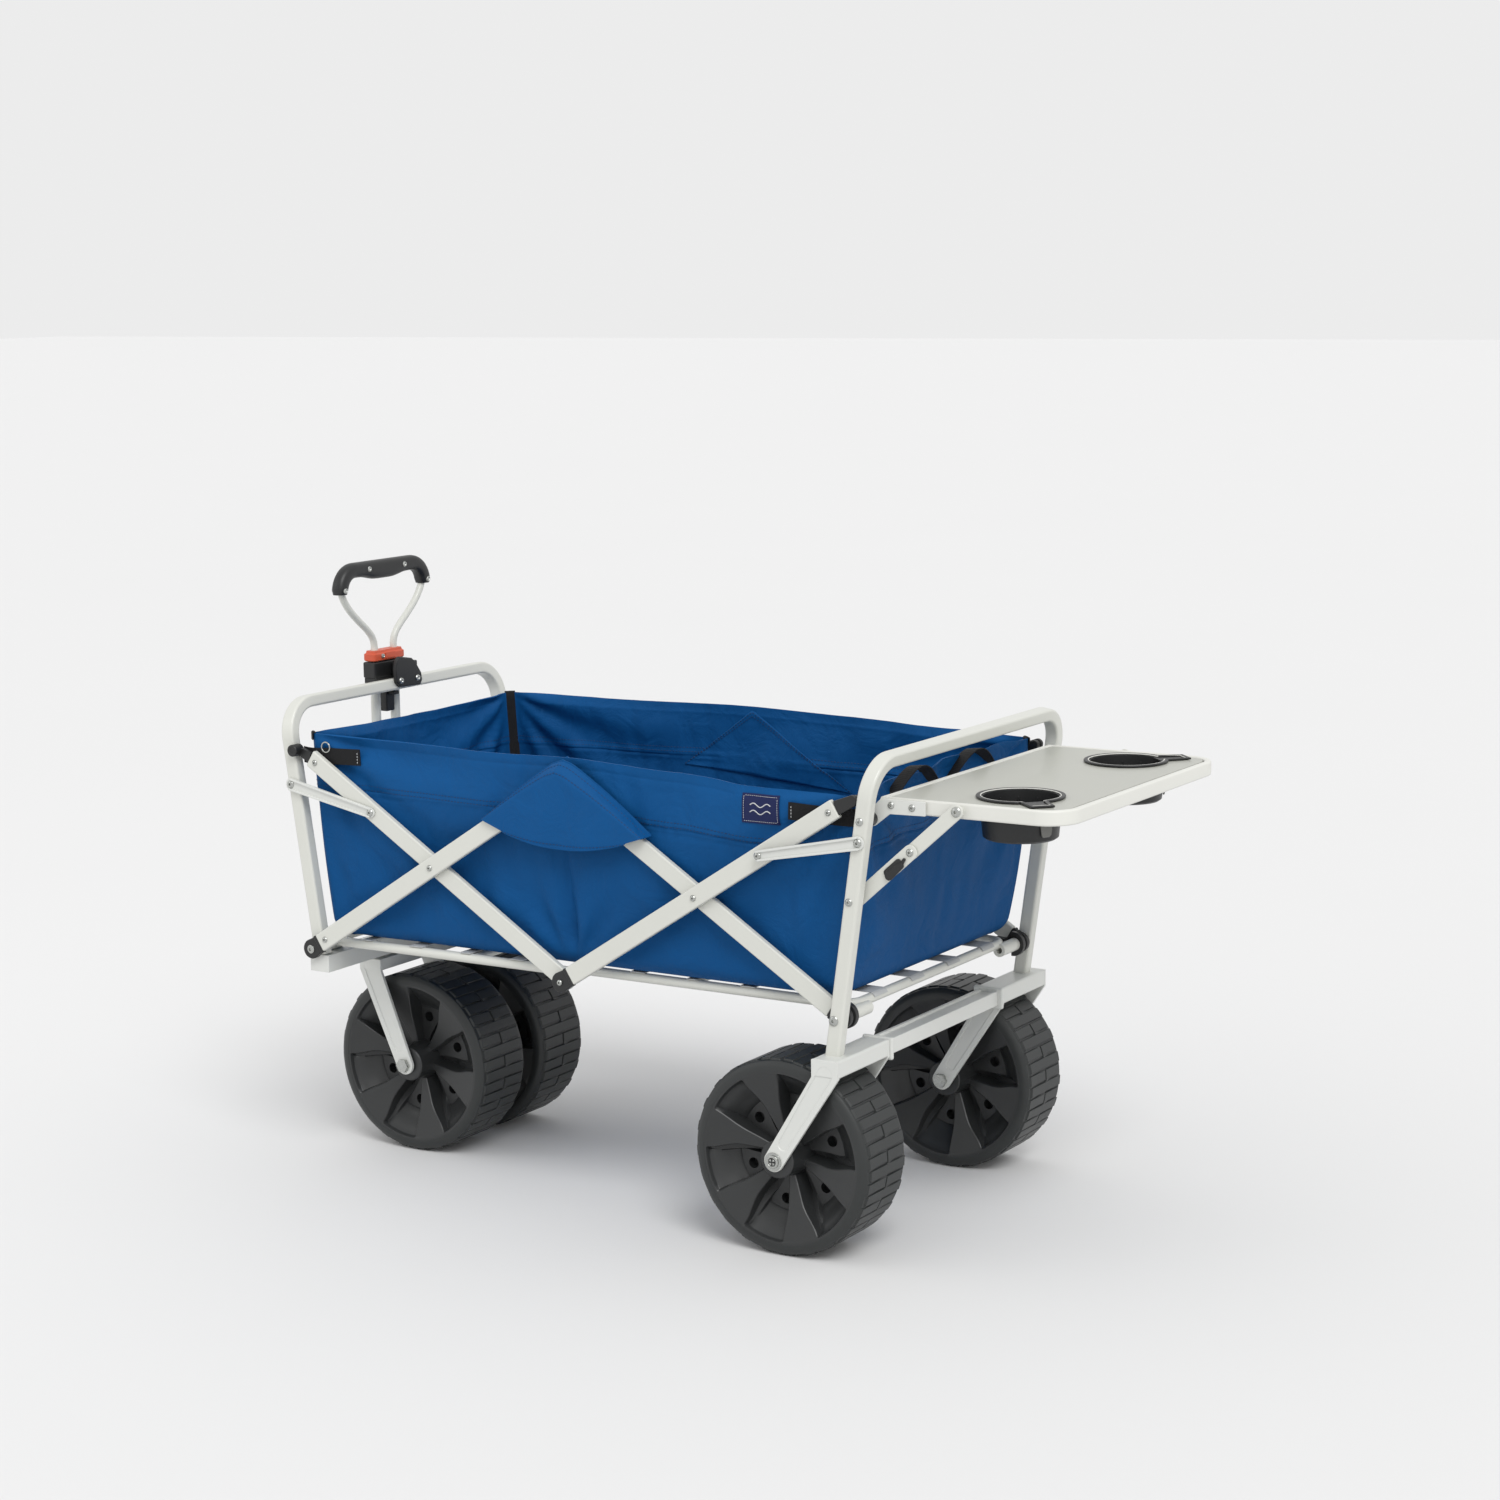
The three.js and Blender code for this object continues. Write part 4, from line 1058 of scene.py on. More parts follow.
def make_tub():
    """One shell: rings of cloth from foot to top edge, and a floor of rings that shrink to a middle line."""
    steps, rows = tub_round(), cloth_rows()
    count = len(steps)
    band = 1 - BAND / DEEP
    marks = [tub_point(step, 0.7)[0] for step in steps]
    lengths = [0.0]
    for a, b in zip(marks, marks[1:]):
        lengths.append(lengths[-1] + (b - a).length)
    points, weights, uvs = [], [], []
    for share in rows:
        for step, length in zip(steps, lengths):
            p, _ = tub_point(step, share)
            points.append(at(*p))
            uvs.append(Vector((length, p.z)))
            weights.append(1.0 if share >= band - 1e-6 else 0.5)
    floor_rings = 14
    for k in range(1, floor_rings + 1):
        inset = k / floor_rings
        for edge in points[:count]:
            middle_x = min(max(edge.x, AXLE_X - 560), AXLE_X - 110)
            place = edge.lerp(Vector((middle_x, 0, edge.z)), inset * 0.95)
            place.z = FLOOR_Z - 0.4 * (1 - (1 - inset) ** 2)
            points.append(place)
            uvs.append(place.xy)
            weights.append(0.45)

    def joined(lower, upper):
        pairs = [(i, (i + 1) % count) for i in range(count)]
        return [[lower + i, lower + j, upper + j, upper + i] for i, j in pairs]

    starts = [count * r for r in range(len(rows))]
    floor_starts = [0] + [count * (len(rows) + k) for k in range(floor_rings)]
    faces = [face for lower, upper in zip(starts, starts[1:]) for face in joined(lower, upper)]
    faces += [face for outer, inner in zip(floor_starts, floor_starts[1:]) for face in joined(inner, outer)]
    faces.append([floor_starts[-1] + i for i in range(count)][::-1])
    mesh = bpy.data.meshes.new("tub_shell")
    mesh.from_pydata([p * MM for p in points], [], faces)
    lay_uv(mesh, uvs)
    mesh.materials.append(FABRIC)
    mesh.materials.append(HEM)
    band_row = rows.index(next(share for share in rows if share >= band - 1e-6))
    for face in mesh.polygons[band_row * count:(len(rows) - 1) * count]:
        face.material_index = 1
    tub = link("tub_shell", mesh)
    group = tub.vertex_groups.new(name="thickness")
    for index, weight in enumerate(weights):
        group.add([index], weight, "REPLACE")
    add_modifier(tub, "cloth", "SOLIDIFY", thickness=2.2 * MM, offset=0, vertex_group="thickness")
    apply_modifiers(tub)
    soften(tub.data, 55)
    sewn(tub, ["fabric_side_near", "fabric_side_far", "fabric_end_rear", "fabric_end_front", "fabric_floor"])
    make_band_seams(steps)


def lay_uv(mesh, uvs):
    """A UV map, in metres, from one place in millimetres for each vertex."""
    layer = mesh.uv_layers.new(name="UVMap")
    for loop in mesh.loops:
        layer.data[loop.index].uv = uvs[loop.vertex_index] * MM


def stitch_row(line, normals, lift, pitch=5.2, length=3.6, half=0.45):
    """Stitches along a line of points in the frame, lying on the cloth."""
    solids = []
    distances = [0.0]
    for a, b in zip(line, line[1:]):
        distances.append(distances[-1] + (b - a).length)
    segment = 0
    for k in range(int(distances[-1] / pitch)):
        middle = (k + 0.5) * pitch
        while distances[segment + 1] < middle:
            segment += 1
        t = (middle - distances[segment]) / (distances[segment + 1] - distances[segment])
        place = line[segment].lerp(line[segment + 1], t)
        out = normals[segment].lerp(normals[segment + 1], t).normalized()
        along = (line[segment + 1] - line[segment]).normalized()
        across = along.cross(out).normalized()
        rings = []
        for reach, girth, rise in ((-0.5, 0.3, -0.2), (-0.3, 1, 0.5), (0.3, 1, 0.5), (0.5, 0.3, -0.2)):
            centre = place + along * (reach * length) + out * (lift + rise * half)
            rings.append([centre + across * u + out * v for u, v in ring_section(half * girth, 5)])
        solids.append(loft(rings))
    return solids


def make_band_seams(steps):
    """Two rows of stitches round the tub below its band, outside and inside."""
    solids = []
    for drop in (BAND - 3, BAND - 9):
        line, normals = [], []
        for step in [*steps, steps[0]]:
            top, _ = tub_point(step, 1)
            p, out = tub_point(step, z=top.z - drop)
            line.append(at(*p))
            normals.append(out)
        solids += stitch_row(line, normals, 1.15)
        solids += stitch_row(line, [-n for n in normals], 1.15)
    sewn(link_mesh("band_seams", solids, THREAD, 60))


def side_cloth(x, z, side, out=0.0):
    """A point on a side wall, lifted off the cloth by out."""
    return at(x, side * (wall_half_width(z) + side_swell(x, z, side) + out), z)


def clear_of_cloth(x, z, side, half_width):
    """The middle of a strap on a side wall, lifted clear of the cloth across its whole width."""
    places = [side_cloth(x, z + half_width * share, side, 2.5) for share in (-1, -0.5, 0, 0.5, 1)]
    return at(x, side * max(abs(p.y) for p in places), z)


def cloth_grid(name, spot, across, down, material, thick, smooth=None):
    """A sheet from a function of the shares across and down it."""
    points = [spot(i / across, j / down) for j in range(down + 1) for i in range(across + 1)]
    row = across + 1
    corners = [j * row + i for j in range(down) for i in range(across)]
    mesh = bpy.data.meshes.new(name)
    mesh.from_pydata([p * MM for p in points], [], [[a, a + 1, a + row + 1, a + row] for a in corners])
    lay_uv(mesh, [p.xz for p in points])
    mesh.materials.append(material)
    sheet = link(name, mesh)
    add_modifier(sheet, "cloth", "SOLIDIFY", thickness=thick * MM, offset=0)
    apply_modifiers(sheet)
    if smooth:
        soften(sheet.data, smooth)
    else:
        sheet.data.shade_smooth()
    return sewn(sheet)


# ---------------------------------------------------------------- hoods over the bars' top joints

HOOD_LEFT, HOOD_APEX, HOOD_RIGHT = Vector((-462, 519)), Vector((-339, 603)), Vector((-204, 514))
HOOD_END_Z = 505
HOOD_LOW_LEFT, HOOD_LOW_RIGHT = Vector((-424, HOOD_END_Z)), Vector((-232, HOOD_END_Z))
HOOD_LOW_Z = 489
PANEL_LEFT, PANEL_APEX, PANEL_RIGHT = Vector((-455, 521)), Vector((-341, 606)), Vector((-178, 500))


def hood_top(u):
    """The sewn upper edge: two nearly straight seams that meet in a small round at the top."""
    middle = 0.45
    if u < middle:
        share = u / middle
        place = HOOD_LEFT.lerp(HOOD_APEX, share)
    else:
        share = (u - middle) / (1 - middle)
        place = HOOD_APEX.lerp(HOOD_RIGHT, share)
    place.y += 3.5 * math.sin(math.pi * share) - 4 * hump(u, middle, 0.04)
    return place


def hood_point(u, v, side):
    """A point of the hood: it leaves the wall at its top seam, rounds over the bars and hangs."""
    ends = math.sin(math.pi * u)
    low = HOOD_LOW_LEFT.lerp(HOOD_LOW_RIGHT, u)
    low.y -= (HOOD_END_Z - HOOD_LOW_Z) * ends ** 0.8
    x, z = hood_top(u).lerp(low, v)
    rise = blend_between(v, -0.05, 0.13) ** 0.8
    away = 233.6 + max(side_swell(x, z, side), 0) * (1 - rise)
    swell = 1.6 * math.sin(math.pi * min(v * 0.9, 1)) * ends
    folds = 0.9 * math.sin(u * 17 + v * 3) * v * ends + 0.32 * ripple(x + 300, 0, z) * v * ends
    y = away + (261.2 - away) * rise + swell + folds
    return at(x, side * y, z + 3.0 * hump(v, 0, 0.07) * ends)


def panel_spot(u, v):
    """A place on the peaked panel that is sewn to the inside of the wall behind each hood."""
    peak = 0.42
    if u < peak:
        top = PANEL_LEFT.lerp(PANEL_APEX, u / peak)
    else:
        top = PANEL_APEX.lerp(PANEL_RIGHT, (u - peak) / (1 - peak))
    return top.lerp(PANEL_LEFT.lerp(PANEL_RIGHT, u), v)


def make_hoods():
    shares = [i / 80 for i in range(81)]
    for name, side in SIDES:
        cloth_grid(f"hood_{name}", lambda u, v: hood_point(u, v, side), 72, 26, HEM, 1.3, 55)
        stitches = []
        for v, tilt in ((0.035, 0.55), (0.10, 0.55), (0.95, 0)):
            out = Vector((0, side, tilt)).normalized()
            stitches += stitch_row([hood_point(u, v, side) for u in shares], [out] * len(shares), 0.8)
        sewn(link_mesh(f"hood_seams_{name}", stitches, THREAD, 60))
        piping = [sweep([hood_point(u, v, side) for u in shares], ring_section(radius, 10), (0, 1, 0))
                  for v, radius in ((0.0, 1.5), (1.0, 1.2))]
        sewn(link_mesh(f"hood_piping_{name}", piping, FABRIC, 60))

        cloth_grid(f"inner_panel_{name}", lambda u, v: side_cloth(*panel_spot(u, v), side, -2.1),
                   60, 16, HEM, 1.2)
        stitches = []
        for inset in (0.03, 0.09):
            line = [side_cloth(*panel_spot(u, inset), side, -2.7) for u in shares]
            stitches += stitch_row(line, [Vector((0, -side, 0))] * len(line), 0.3)
        sewn(link_mesh(f"inner_panel_seams_{name}", stitches, THREAD, 60))


# ---------------------------------------------------------------- webbing, bindings and the patch

def ribbon(path, width, across, thick=1.4):
    """A flat strap along a path. across is the way its width runs at the start."""
    half, swell = thick / 2, thick * 0.62
    section = [(-width / 2, -half), (0, -swell), (width / 2, -half), (width / 2, half), (0, swell),
               (-width / 2, half)]
    return sweep(path, section, across)


def strap_uv(made):
    """Runs the strap's weave along X and Z, or along Y and Z where it faces along X."""
    mesh = made.data
    layer = mesh.uv_layers.new(name="UVMap")
    for face in mesh.polygons:
        along_y = abs(face.normal.x) > abs(face.normal.y)
        for index in face.loop_indices:
            p = mesh.vertices[mesh.loops[index].vertex_index].co
            layer.data[index].uv = (p.y if along_y else p.x, p.z)
    return made


def make_tabs():
    """Tabs sewn to the side walls at both ends, going round to the legs, with a ring on the front ones."""
    for name, side in SIDES:
        front = [clear_of_cloth(-677 - 9 * k, 580 - 0.3 * k, side, 11) for k in range(7)]
        front += [at(-752, side * 236, 577), at(-766, side * 236, 577), at(-778, side * 231, 577)]
        rear = [clear_of_cloth(-2 + 9.5 * k, 563 - 0.3 * k, side, 11) for k in range(7)]
        rear += [at(82, side * 235, 561), at(98, side * 234, 562), at(108, side * 236, 563)]
        for end, path in (("front", front), ("rear", rear)):
            tab = [ribbon(smooth_path(path), 22, UP)]
            sewn(strap_uv(link_mesh(f"{end}_tab_{name}", tab, WEBBING, 40)))
            line = [path[0].lerp(path[1], 0.45) + UP * dz for dz in range(-9, 10, 2)]
            row = stitch_row(line, [Vector((0, side, 0))] * len(line), 0.9, 4, 2.6)
            sewn(link_mesh(f"{end}_tab_stitch_{name}", row, PALE_THREAD, 60))
        rim = [at(-736 + dx, side * 236.4, 590 + dz) for dx, dz in ring_section(7, 24)]
        ring = sweep(rim, ring_section(1.1, 8), (0, 1, 0), closed=True)
        sewn(link_mesh(f"front_tab_ring_{name}", [ring], ZINC, 60))


def make_bindings():
    """Bindings down the inside of the tub's four upright corners, folded over its top edge."""
    solids = []
    for corner in range(4):
        step = (WALLS[corner], corner, 0.5)
        top, out = tub_point(step, 1.0)
        across = Vector((-out.y, out.x, 0))
        path = []
        for k in range(7):
            away, rise = polar(1, math.pi * k / 6)
            path.append(at(*top) + out * (2.0 * away) + UP * (1.4 * rise))
        path.insert(0, path[0] - UP * 9)
        for k in range(1, 11):
            p, out = tub_point(step, 1 - 0.036 * k)
            path.append(at(*p) - out * 2.0)
        solids.append(ribbon(path, 15, across))
    sewn(strap_uv(link_mesh("corner_bindings", solids, WEBBING, 40)))


def make_carry_loops():
    """Two carrying loops sewn over the rear wall's top edge."""
    solids = []
    for y0, y1 in ((-158, -52), (-8, 104)):
        path = []
        for share in [k / 16 for k in range(17)]:
            arch = math.sin(math.pi * share)
            path.append(at(101 + 6 * arch, y0 + (y1 - y0) * share, 579 + 29 * arch))
        solids.append(ribbon(path, 20, (1, 0, 0.2)))
    sewn(strap_uv(link_mesh("rear_wall_loops", solids, WEBBING, 40)))


def make_patch():
    """A plain woven patch with a stitched border and two wavy lines."""
    x0, x1, z0, z1 = -70, -16, 543, 580
    cloth_grid("side_patch", lambda u, v: side_cloth(x0 + (x1 - x0) * u, z0 + (z1 - z0) * v, -1, 1.9),
               18, 12, PATCH, 1.0, 60)
    inset = 2.5
    left, right, low, high = x0 + inset, x1 - inset, z0 + inset, z1 - inset
    corners = [Vector(c) for c in ((left, low), (right, low), (right, high), (left, high), (left, low))]
    thread = []
    for a, b in zip(corners, corners[1:]):
        line = [side_cloth(*a.lerp(b, k / 6), -1, 2.5) for k in range(7)]
        thread += stitch_row(line, [Vector((0, -1, 0))] * len(line), 0.1, 3, 2.2, 0.3)
    for level in (557, 566):
        path = [side_cloth(x0 + 12 + 30 * t, level + 2.4 * math.sin(3 * math.pi * t), -1, 2.6)
                for t in [k / 24 for k in range(25)]]
        thread.append(sweep(path, ring_section(0.7, 8), UP))
    sewn(link_mesh("side_patch_thread", thread, PALE_THREAD, 60))


def declare_cloth():
    """Looks up the pieces sewn to the tub: the band seams, corner bindings, rear wall loops, and the tabs and
    their stitches.
    """
    objects = bpy.data.objects
    attached = ["band_seams", "corner_bindings", "rear_wall_loops"]
    for name, _ in SIDES:
        for strap in ("tab", "tab_stitch"):
            attached += [f"front_{strap}_{name}", f"rear_{strap}_{name}"]
    attached = [objects[name] for name in attached]


# ---------------------------------------------------------------- table

NOTCH_TURN = math.radians(45)
CUP_HOLE_R = 51.5


def table_outline(inset, z):
    """The table's edge, moved in by inset. Only its two outer corners are round."""
    x0, x1, half = 124 + inset, 375 - inset, 231 - inset
    return rounded([at(x0, -half, z), at(x1, -half, z), at(x1, half, z), at(x0, half, z)], 42 - inset, 12)


def make_table():
    low, high = box_of("table_top")
    cups = [middle_of(f"cup_holder_{name}") for name, _ in SIDES]
    cups = [Vector((cup.x, cup.y, 0)) for cup in cups]
    top = high.z
    rim = sweep(table_outline(4.5, (low.z + top) / 2), box_section(top - low.z, 9, 2.6), UP, closed=True)
    flatten_faces(piece("table_rim_frame", [rim], RIM, "table", ["table_top"], smooth=50))
    # The dark core shows as a thin line between the panel and the rim: painted shade in that gap.
    levels = (("table_board_panel", 11, low.z + 3, top - 1, BOARD),
              ("table_gap_shade_core", 7, low.z + 4, top - 3, SHADOW_GAP))
    for name, inset, lower, upper, material in levels:
        board = link_mesh(name, [loft([table_outline(inset, z) for z in (lower, upper)])], material)
        hole = rod(CUP_HOLE_R, low.z - 5, top + 5)
        drill(board, *[link_mesh("hole", [turned(hole, cup, "Z", 64)], material) for cup in cups])
        soften(board.data, 32)
        belong(board, "table")
    for (name, side), cup in zip(SIDES, cups):
        make_cup(name, side, cup, top)


def heading(turn):
    """A direction over the table, and the direction square to it."""
    along = Vector((*polar(1, turn), 0))
    return along, Vector((-along.y, along.x, 0))


def cup_edge(centre, side, radius, notch_half, notch_reach, z):
    """The rim's line: a circle with a straight-sided notch towards the table's outer corner."""
    opening = math.asin(notch_half / radius)
    points = []
    for i in range(65):
        turn = NOTCH_TURN * side + opening + (FULL_TURN - 2 * opening) * i / 64
        points.append(centre + Vector((*polar(radius, turn), z)))
    along, across = heading(NOTCH_TURN * side)
    for shift in (-1, 1):
        points.append(centre + along * (radius + notch_reach) + across * (shift * notch_half * 0.86) + UP * z)
    return points


def make_cup(name, side, centre, top):
    """A cup that hangs in the table, with a keyhole notch for a mug's handle."""
    node = f"cup_holder_{name}"
    floor = 539
    wall = [(0, floor), (43, floor), (46.5, floor + 2.5), (48.6, floor + 24), (49.4, top + 0.4),
            (46.6, top + 0.4), (45.3, floor + 24), (43, floor + 4), (40, floor + 2.6), (0, floor + 2.6)]
    along, across = heading(NOTCH_TURN * side)
    tray = [centre + along * reach + across * spread
            for reach, spread in ((43, -14), (80, -12), (80, 12), (43, 14))]
    solids = [turned(wall, centre, "Z", 72), loft([[p + UP * z for p in tray] for z in (top - 2, top + 0.3)])]
    for turn in turns(12):
        rib = [centre + Vector((*polar(r, turn), z)) for r, z in ((43.6, floor + 6), (46.4, top - 8))]
        solids.append(sweep(rib, ring_section(1.2, 8), (0, 1, 0)))
    piece(f"{node}_cup", solids, BLACK, "table", [node], edge=0.5)
    lip = sweep(cup_edge(centre, side, 52, 15, 30, top + 1.1), box_section(2.6, 5.6, 1.2, 3), UP, closed=True)
    piece(f"{node}_lip", [lip], BLACK, "table", smooth=50)
    # A pale thin ring along the black lip: a painted highlight on its edge.
    line = sweep(cup_edge(centre, side, 49, 13.4, 29.4, top + 1.5), ring_section(0.8, 8), UP, closed=True)
    piece(f"{node}_lip_highlight", [line], RIM, "table", smooth=60)
    # a spring tongue in the cup's side
    outward, sideways = heading(NOTCH_TURN * side * 0.55)
    tongue = []
    for height, half, depth in ((24, 8.5, 49.6), (16, 8.2, 50.4), (10, 7.0, 50.2), (7.5, 4.5, 49.4)):
        middle = centre + outward * depth + UP * (floor + height)
        tongue.append([middle + sideways * across + outward * out
                       for across, out in ((half, -2), (half, 0), (-half, 0), (-half, -2))])
    piece(f"{node}_tongue", [loft(tongue)], STRAP_PLASTIC, "table", edge=0.5)


def make_brackets():
    pivot, face = JOINT["table_fold"], 231.3
    for name, side in SIDES:
        node = f"table_bracket_{name}"
        outline = []
        for k in range(14):
            dx, dz = polar(10, math.radians(125 + 15 * k))
            outline.append((pivot.x + dx, pivot.z + dz))
        outline += [(AXLE_X + x, z) for x, z in ((140, 570), (189, 571), (189, 588.5), (128, 588.5))]
        piece(f"{node}_plate", [plate(outline, side, face, 3)], PRESSED, "table", [node], edge=0.8)
        outside = face + 3
        bush = [(4, outside), (8.5, outside), (9, outside + 1), (9, 246), (8, 247), (4, 247)]
        piece(f"{node}_bush", [turned(bush, flat(pivot), "Y", 28, side, closed=True)], BLACK, "table")
        heads = [rivet(at(x, 0, z), side, outside, 4.6) for x, z in ((142, 581), (171, 580))]
        heads += [rivet(pivot, side, 264.6, 5), pin(pivot, side, PIN_R, 247, 265)]
        piece(f"{node}_rivets", heads, ZINC, "table")


def make_braces():
    top, foot = flat(JOINT["brace_top_near"]), flat(JOINT["brace_foot_near"])
    middle = top.lerp(foot, 0.456)
    upper_face, lower_face = 236.5, 240.5
    start, end = towards(middle, foot, 20), towards(middle, foot, 41)
    along = (end - start).normalized()
    down = Vector((-along.z, 0, along.x)) * 5
    for name, side in SIDES:
        upper, lower, lock = f"brace_upper_{name}", f"brace_lower_{name}", f"brace_lock_{name}"
        solids = [plate(strip(top, middle, 9, 9, steps=18), side, upper_face, 3.5),
                  pin(top, side, 6, 221, upper_face + 1)]
        piece(f"brace_upper_bar_{name}", solids, PAINT, upper, [upper], edge=1.0)
        piece(f"brace_upper_rivet_{name}", [rivet(top, side, upper_face + 3.5, 6.4)], ZINC, upper)
        solids = [plate(strip(middle, foot, 9.5, 9.5, steps=18), side, lower_face, 2.7)]
        piece(f"brace_lower_bar_{name}", solids, PAINT, lower, [lower], edge=0.9)
        heads = [rivet(middle, side, lower_face + 2.7, 5), rivet(foot, side, 264.6, 5),
                 pin(foot, side, PIN_R, lower_face, 265)]
        piece(f"brace_lower_rivets_{name}", heads, ZINC, lower)
        face = lower_face + 2.9
        tail_end = start + down * 0.4 - along * 9
        slider = [plate(strip(start, end, 4.6, 4.6), side, face, 2.4),
                  plate(strip(start + down, end + down, 4.2, 5.6), side, face, 3.9),
                  plate(strip(start + down, tail_end, 2.6, 2.0), side, face, 2.8)]
        piece(f"brace_lock_slider_{name}", slider, BLACK, lock, [lock], edge=1.1)


# ---------------------------------------------------------------- pull handle

HANDLE_X = JOINT["handle_tilt"].x
TUBE_Y = 22
GRIP_TOP = box_of("handle_grip")[1].z
GRIP_MIDDLE = GRIP_TOP - 10  # height of the loop's tube inside the grip
GRIP_HALF = 94


def beside_handle(y, z):
    return Vector((HANDLE_X, y, z))


def grip_line(foot, steps=12):
    corners = [beside_handle(GRIP_HALF, foot), beside_handle(GRIP_HALF, GRIP_MIDDLE),
               beside_handle(-GRIP_HALF, GRIP_MIDDLE), beside_handle(-GRIP_HALF, foot)]
    return rounded(corners, 30, steps)


def make_handle():
    foot, tube_top = JOINT["handle_tilt"], 655
    solids = []
    for _, side in SIDES:
        centre = beside_handle(side * TUBE_Y, 0)
        solids.append(turned(pipe(5.6, 7, foot.z, tube_top), centre, "Z", 32, closed=True))
    solids.append(turned(pipe(4.4, 10, -35, 35), flat(foot), "Y", 32, closed=True))
    piece("handle_lower_tubes", solids, PAINT, "handle_lower", ["handle_tubes"], edge=0.4)

    low, high = box_of("handle_cap")
    x = (low.x, high.x)
    cap = [block(x, (low.y, high.y), (low.z, high.z)),
           block(x, (low.y + 2, high.y - 2), (low.z - 9, low.z + 1))]
    piece("handle_cap_moulding", cap, BLACK, "handle_lower", ["handle_cap"], edge=2.2, segments=3)

    knots = [(TUBE_Y, 692), (TUBE_Y, 702), (26, 713), (37, 725), (56, 740), (75, 757), (88, 774),
             (GRIP_HALF, 790)]
    bow = smooth_path([beside_handle(y, z) for y, z in knots], 8)
    right = [beside_handle(TUBE_Y, 330), beside_handle(TUBE_Y, 680), *bow]
    left = [beside_handle(-p.y, p.z) for p in reversed(right)]
    loop = sweep([*right, *grip_line(791)[1:-1], *left], ring_section(5, 20), (1, 0, 0))
    piece("handle_loop_tube", [loop], PAINT, "handle_upper", ["handle_loop"], smooth=60)
    make_grip()
    make_collar()
    make_clip()


def make_grip():
    """The moulded grip: an oval sleeve, fuller under the fingers, with screws in both faces."""
    line = grip_line(GRIP_TOP - 42, 16)
    step = 4.1
    dense = []
    for a, b in zip(line, line[1:]):
        parts = max(1, int((b - a).length / step))
        dense += [a.lerp(b, k / parts) for k in range(parts)]
    dense.append(line[-1])
    rings = []
    last = len(dense) - 1
    square = 0.82  # below 1 squares the oval up a little
    for i, place in enumerate(dense):
        along = (dense[min(i + 1, last)] - dense[max(i - 1, 0)]).normalized()
        outward = Vector((0, -along.z, along.y))
        if outward.dot(place - beside_handle(0, GRIP_TOP - 60)) < 0:
            outward = -outward
        close = 0.86 + 0.14 * blend_between(min(i, last - i), 0, 3)
        belly = math.exp(-((place.y / 38) ** 4)) * 5.5 if place.z > GRIP_TOP - 14 else 0
        ring = []
        for c, s in ring_section(1, 28):
            reach = 10.4 if s > 0 else 11 + belly
            x = math.copysign(abs(c) ** square, c) * 10.8 * close
            out = math.copysign(abs(s) ** square, s) * reach * close
            ring.append(place + Vector((x, 0, 0)) + outward * out)
        rings.append(ring)
    piece("handle_grip_moulding", [loft(rings)], BLACK, "handle_upper", ["handle_grip"], smooth=60)
    head = [(0, 0.6), (1.6, 0.6), (2.2, 1.3), (3.4, 1.3), (3.9, 0.5), (3.9, -1.5), (0, -1.5)]
    screws = []
    low = GRIP_MIDDLE - 26
    for y, z in ((GRIP_HALF, low), (-GRIP_HALF, low), (40, GRIP_MIDDLE), (-40, GRIP_MIDDLE)):
        for face in (-1, 1):
            centre = beside_handle(y, z) + Vector((face * 10.6, 0, 0))
            screws.append(turned(head, centre, "X", 20, face))
    piece("handle_grip_screws", screws, ZINC, "handle_upper")


def make_collar():
    low, high = box_of("handle_collar")
    middle, size = (low + high) / 2, high - low
    rings = []
    for level, inset in ((low.z, 1.5), (low.z + 1.5, 0), (high.z - 5, 0), (high.z - 3, 2), (high.z, 2.6)):
        section = box_section(size.x - 2 * inset, size.y - 2 * inset, 5, 6)
        rings.append([Vector((middle.x + u, middle.y + v, level)) for u, v in section])
    grip = block((high.x - 3, high.x + 0.9), (middle.y - 11, middle.y + 11), (low.z + 3, high.z - 4))
    piece("handle_collar_moulding", [loft(rings), grip], RED, "handle_upper", ["handle_collar"], edge=0.6)
    head = [(0, 0.6), (1.4, 0.6), (1.9, 1.2), (3.0, 1.1), (3.4, 0.3), (3.4, -1.5), (0, -1.5)]
    centre = Vector((high.x + 0.7, middle.y - 17, middle.z - 0.5))
    piece("handle_collar_screw", [turned(head, centre, "X", 20)], ZINC, "handle_upper")


def make_clip():
    """The clip on the front top bar: a saddle over the bar with a cam in front, and a catch behind."""
    low, high = box_of("handle_clip")
    front, back = high.x, low.x + 1
    bar_top = 654.8
    cam = [(-14, 648), (-16, 668), (-13, 680), (-6, 685), (22, 680), (30, 674), (43, 657), (45, 646),
           (40, 639), (-6, 641)]
    saddle = [
        loft([[Vector((x, y, z)) for y, z in cam] for x in (front - 6, front + 0.6)]),
        block((back, front - 4), (1, 40), (bar_top, bar_top + 20)),
    ]
    piece("handle_clip_moulding", saddle, BLACK, "front_frame", ["handle_clip"], edge=1.8, segments=3)
    tongue = [block((HANDLE_X - 6.5, HANDLE_X + 6.5), (-5, 13), (604, 650)),
              block((HANDLE_X - 4, back + 4), (-2, 12), (628, 633))]
    piece("handle_clip_tongue", tongue, BLACK, "front_frame", edge=1.6, segments=3)
    head = [(0, 0.7), (1.6, 0.7), (2.2, 1.6), (4.0, 1.5), (4.7, 0.4), (4.7, -1.0), (0, -1.0)]
    heads = [turned(head, Vector((front + 0.5, y, 650)), "X", 20) for y in (-4, 34)]
    piece("handle_clip_screws", heads, ZINC, "front_frame")


# ---------------------------------------------------------------- floor, light and camera

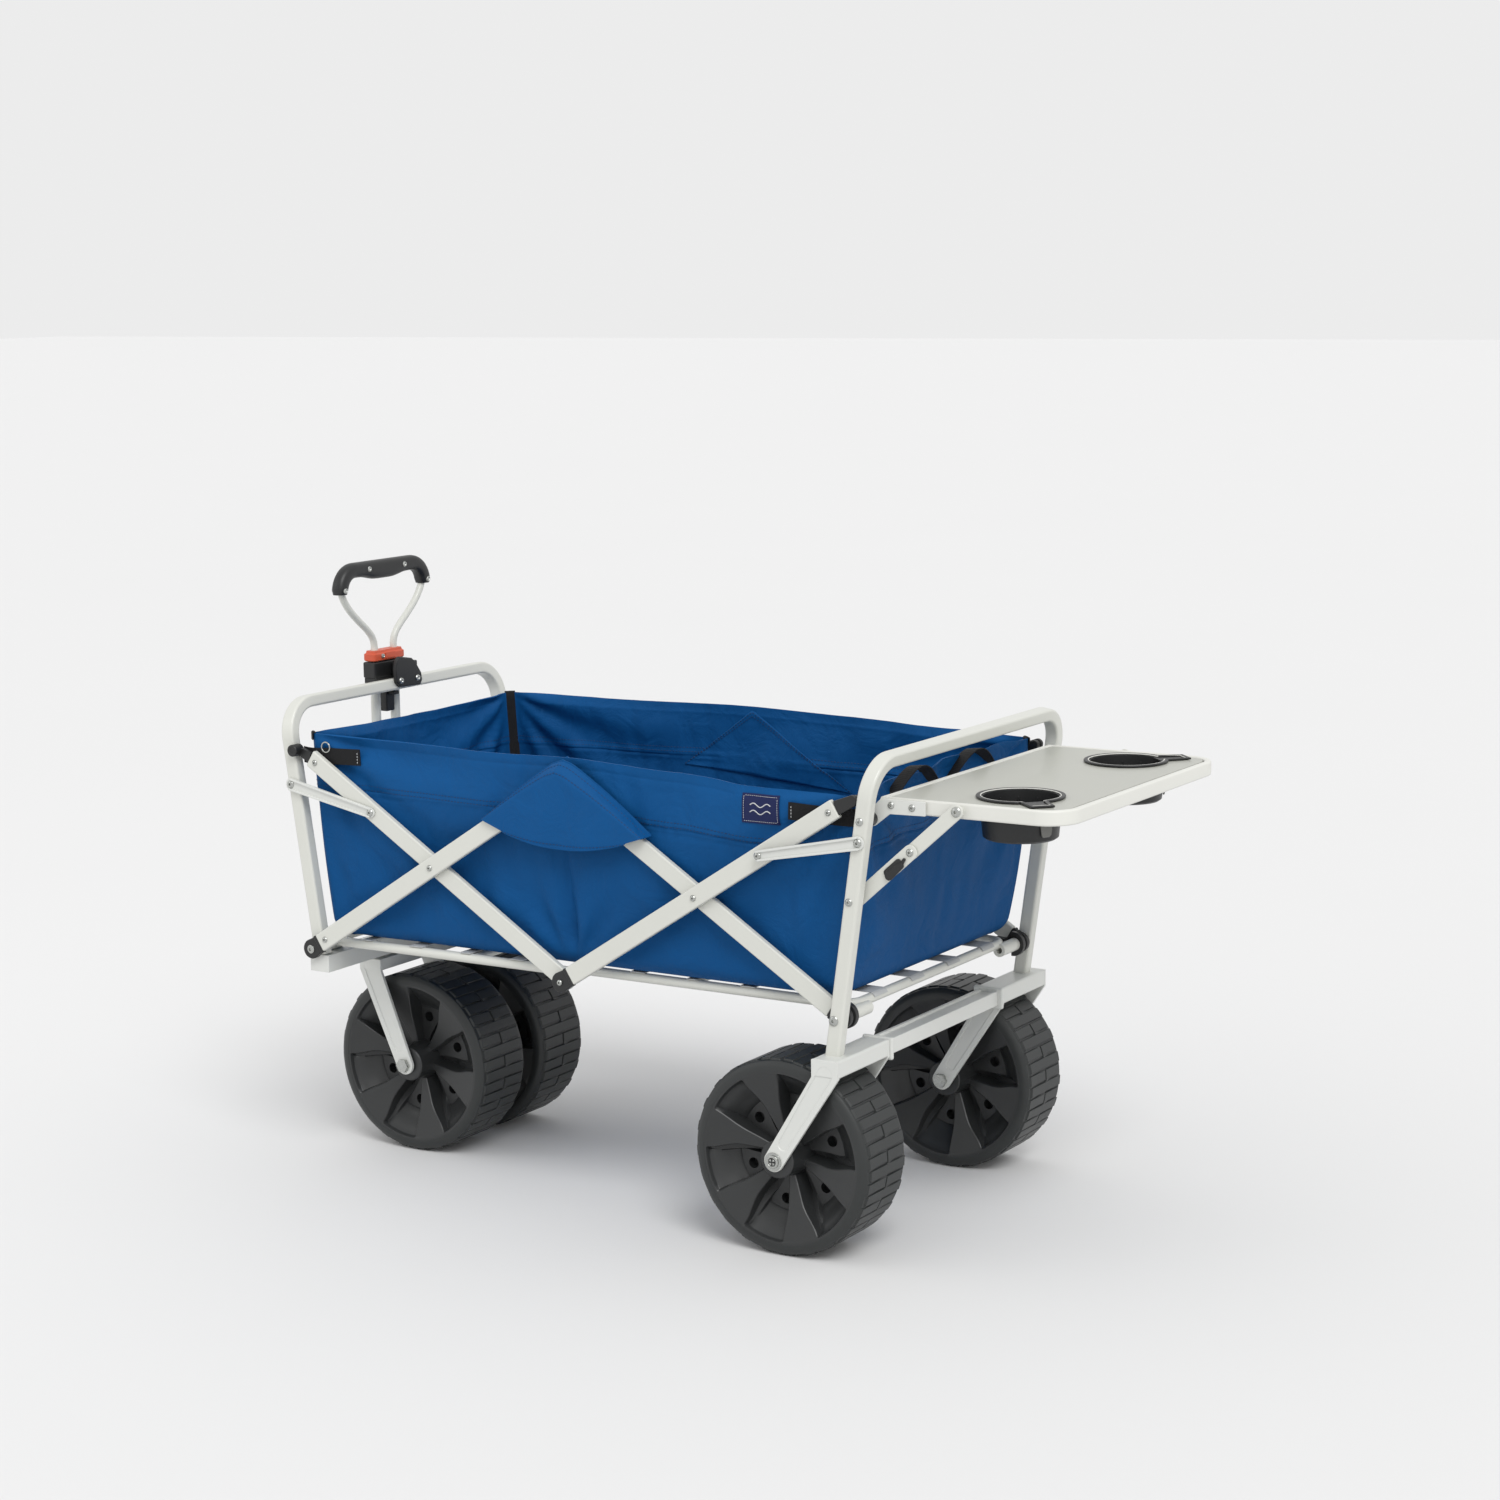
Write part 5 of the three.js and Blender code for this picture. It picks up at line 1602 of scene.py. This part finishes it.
def make_stage():
    reach = 40.0  # metres
    mesh = bpy.data.meshes.new("floor")
    corners = [(-reach, -reach, 0), (reach, -reach, 0), (reach, reach, 0), (-reach, reach, 0)]
    mesh.from_pydata(corners, [], [(0, 1, 2, 3)])
    floor = link("floor", mesh)
    floor.location.z = -0.2 * MM
    mesh.materials.append(shader("studio_floor", (0.735,) * 3, 0.9, (1, 0.004), (50, 0.0, 0.1)))

    world = bpy.data.worlds.new("studio")
    bpy.context.scene.world = world
    world.use_nodes = True
    set_inputs(world.node_tree.nodes["Background"], {"Color": (1, 1, 1, 1), "Strength": 0.84})

    sun = bpy.data.lights.new("key_light", "SUN")
    sun.energy = 1.5
    sun.angle = math.radians(28)
    aim(link("key_light", sun), (-1.7, 1.5, -2.5))
    light = bpy.data.lights.new("side_light", "AREA")
    light.shape = "DISK"
    light.size = 1.6
    light.energy = 6
    place, target = Vector((-2.6, -2.2, 2.0)), Vector((0, 0, 0.4))
    made = link("side_light", light)
    made.location = place
    aim(made, target - place)


def aim(light, direction):
    light.rotation_euler = Vector(direction).to_track_quat("-Z", "Y").to_euler()


def make_camera():
    """A long lens beside the table, a little above it, turned very slightly about its own axis."""
    azimuth, elevation, roll = math.radians(31.48), math.radians(8.78), math.radians(-0.72)
    distance = 4.09865
    target = at(-173.8, 0, 609.5) * MM
    level = math.cos(elevation)
    back = Vector((math.sin(azimuth) * level, -math.cos(azimuth) * level, math.sin(elevation)))
    right = (-back).cross(UP).normalized()
    up = right.cross(-back).normalized()
    tilted_right = right * math.cos(roll) + up * math.sin(roll)
    tilted_up = up * math.cos(roll) - right * math.sin(roll)
    camera_data = bpy.data.cameras.new("camera")
    camera_data.sensor_width = 36
    camera_data.lens = 74.0
    camera_data.shift_x = -0.01266
    camera_data.shift_y = -0.00807
    camera_data.clip_start = 0.1
    camera_data.clip_end = 200
    camera = link("camera", camera_data)
    turn = Matrix((tilted_right, tilted_up, back)).transposed().to_4x4()
    camera.matrix_world = Matrix.Translation(target + back * distance) @ turn
    bpy.context.scene.camera = camera
    bpy.context.scene.view_settings.view_transform = "Standard"


make_camera()
make_stage()
make_frames()
make_rear_forks()
make_caster()
make_front_beam()
make_wheels()
make_bars()
make_links()
make_floor_rails()
make_tub()
make_hoods()
make_tabs()
make_bindings()
make_carry_loops()
make_patch()
make_table()
make_brackets()
make_braces()
make_handle()
declare_cloth()
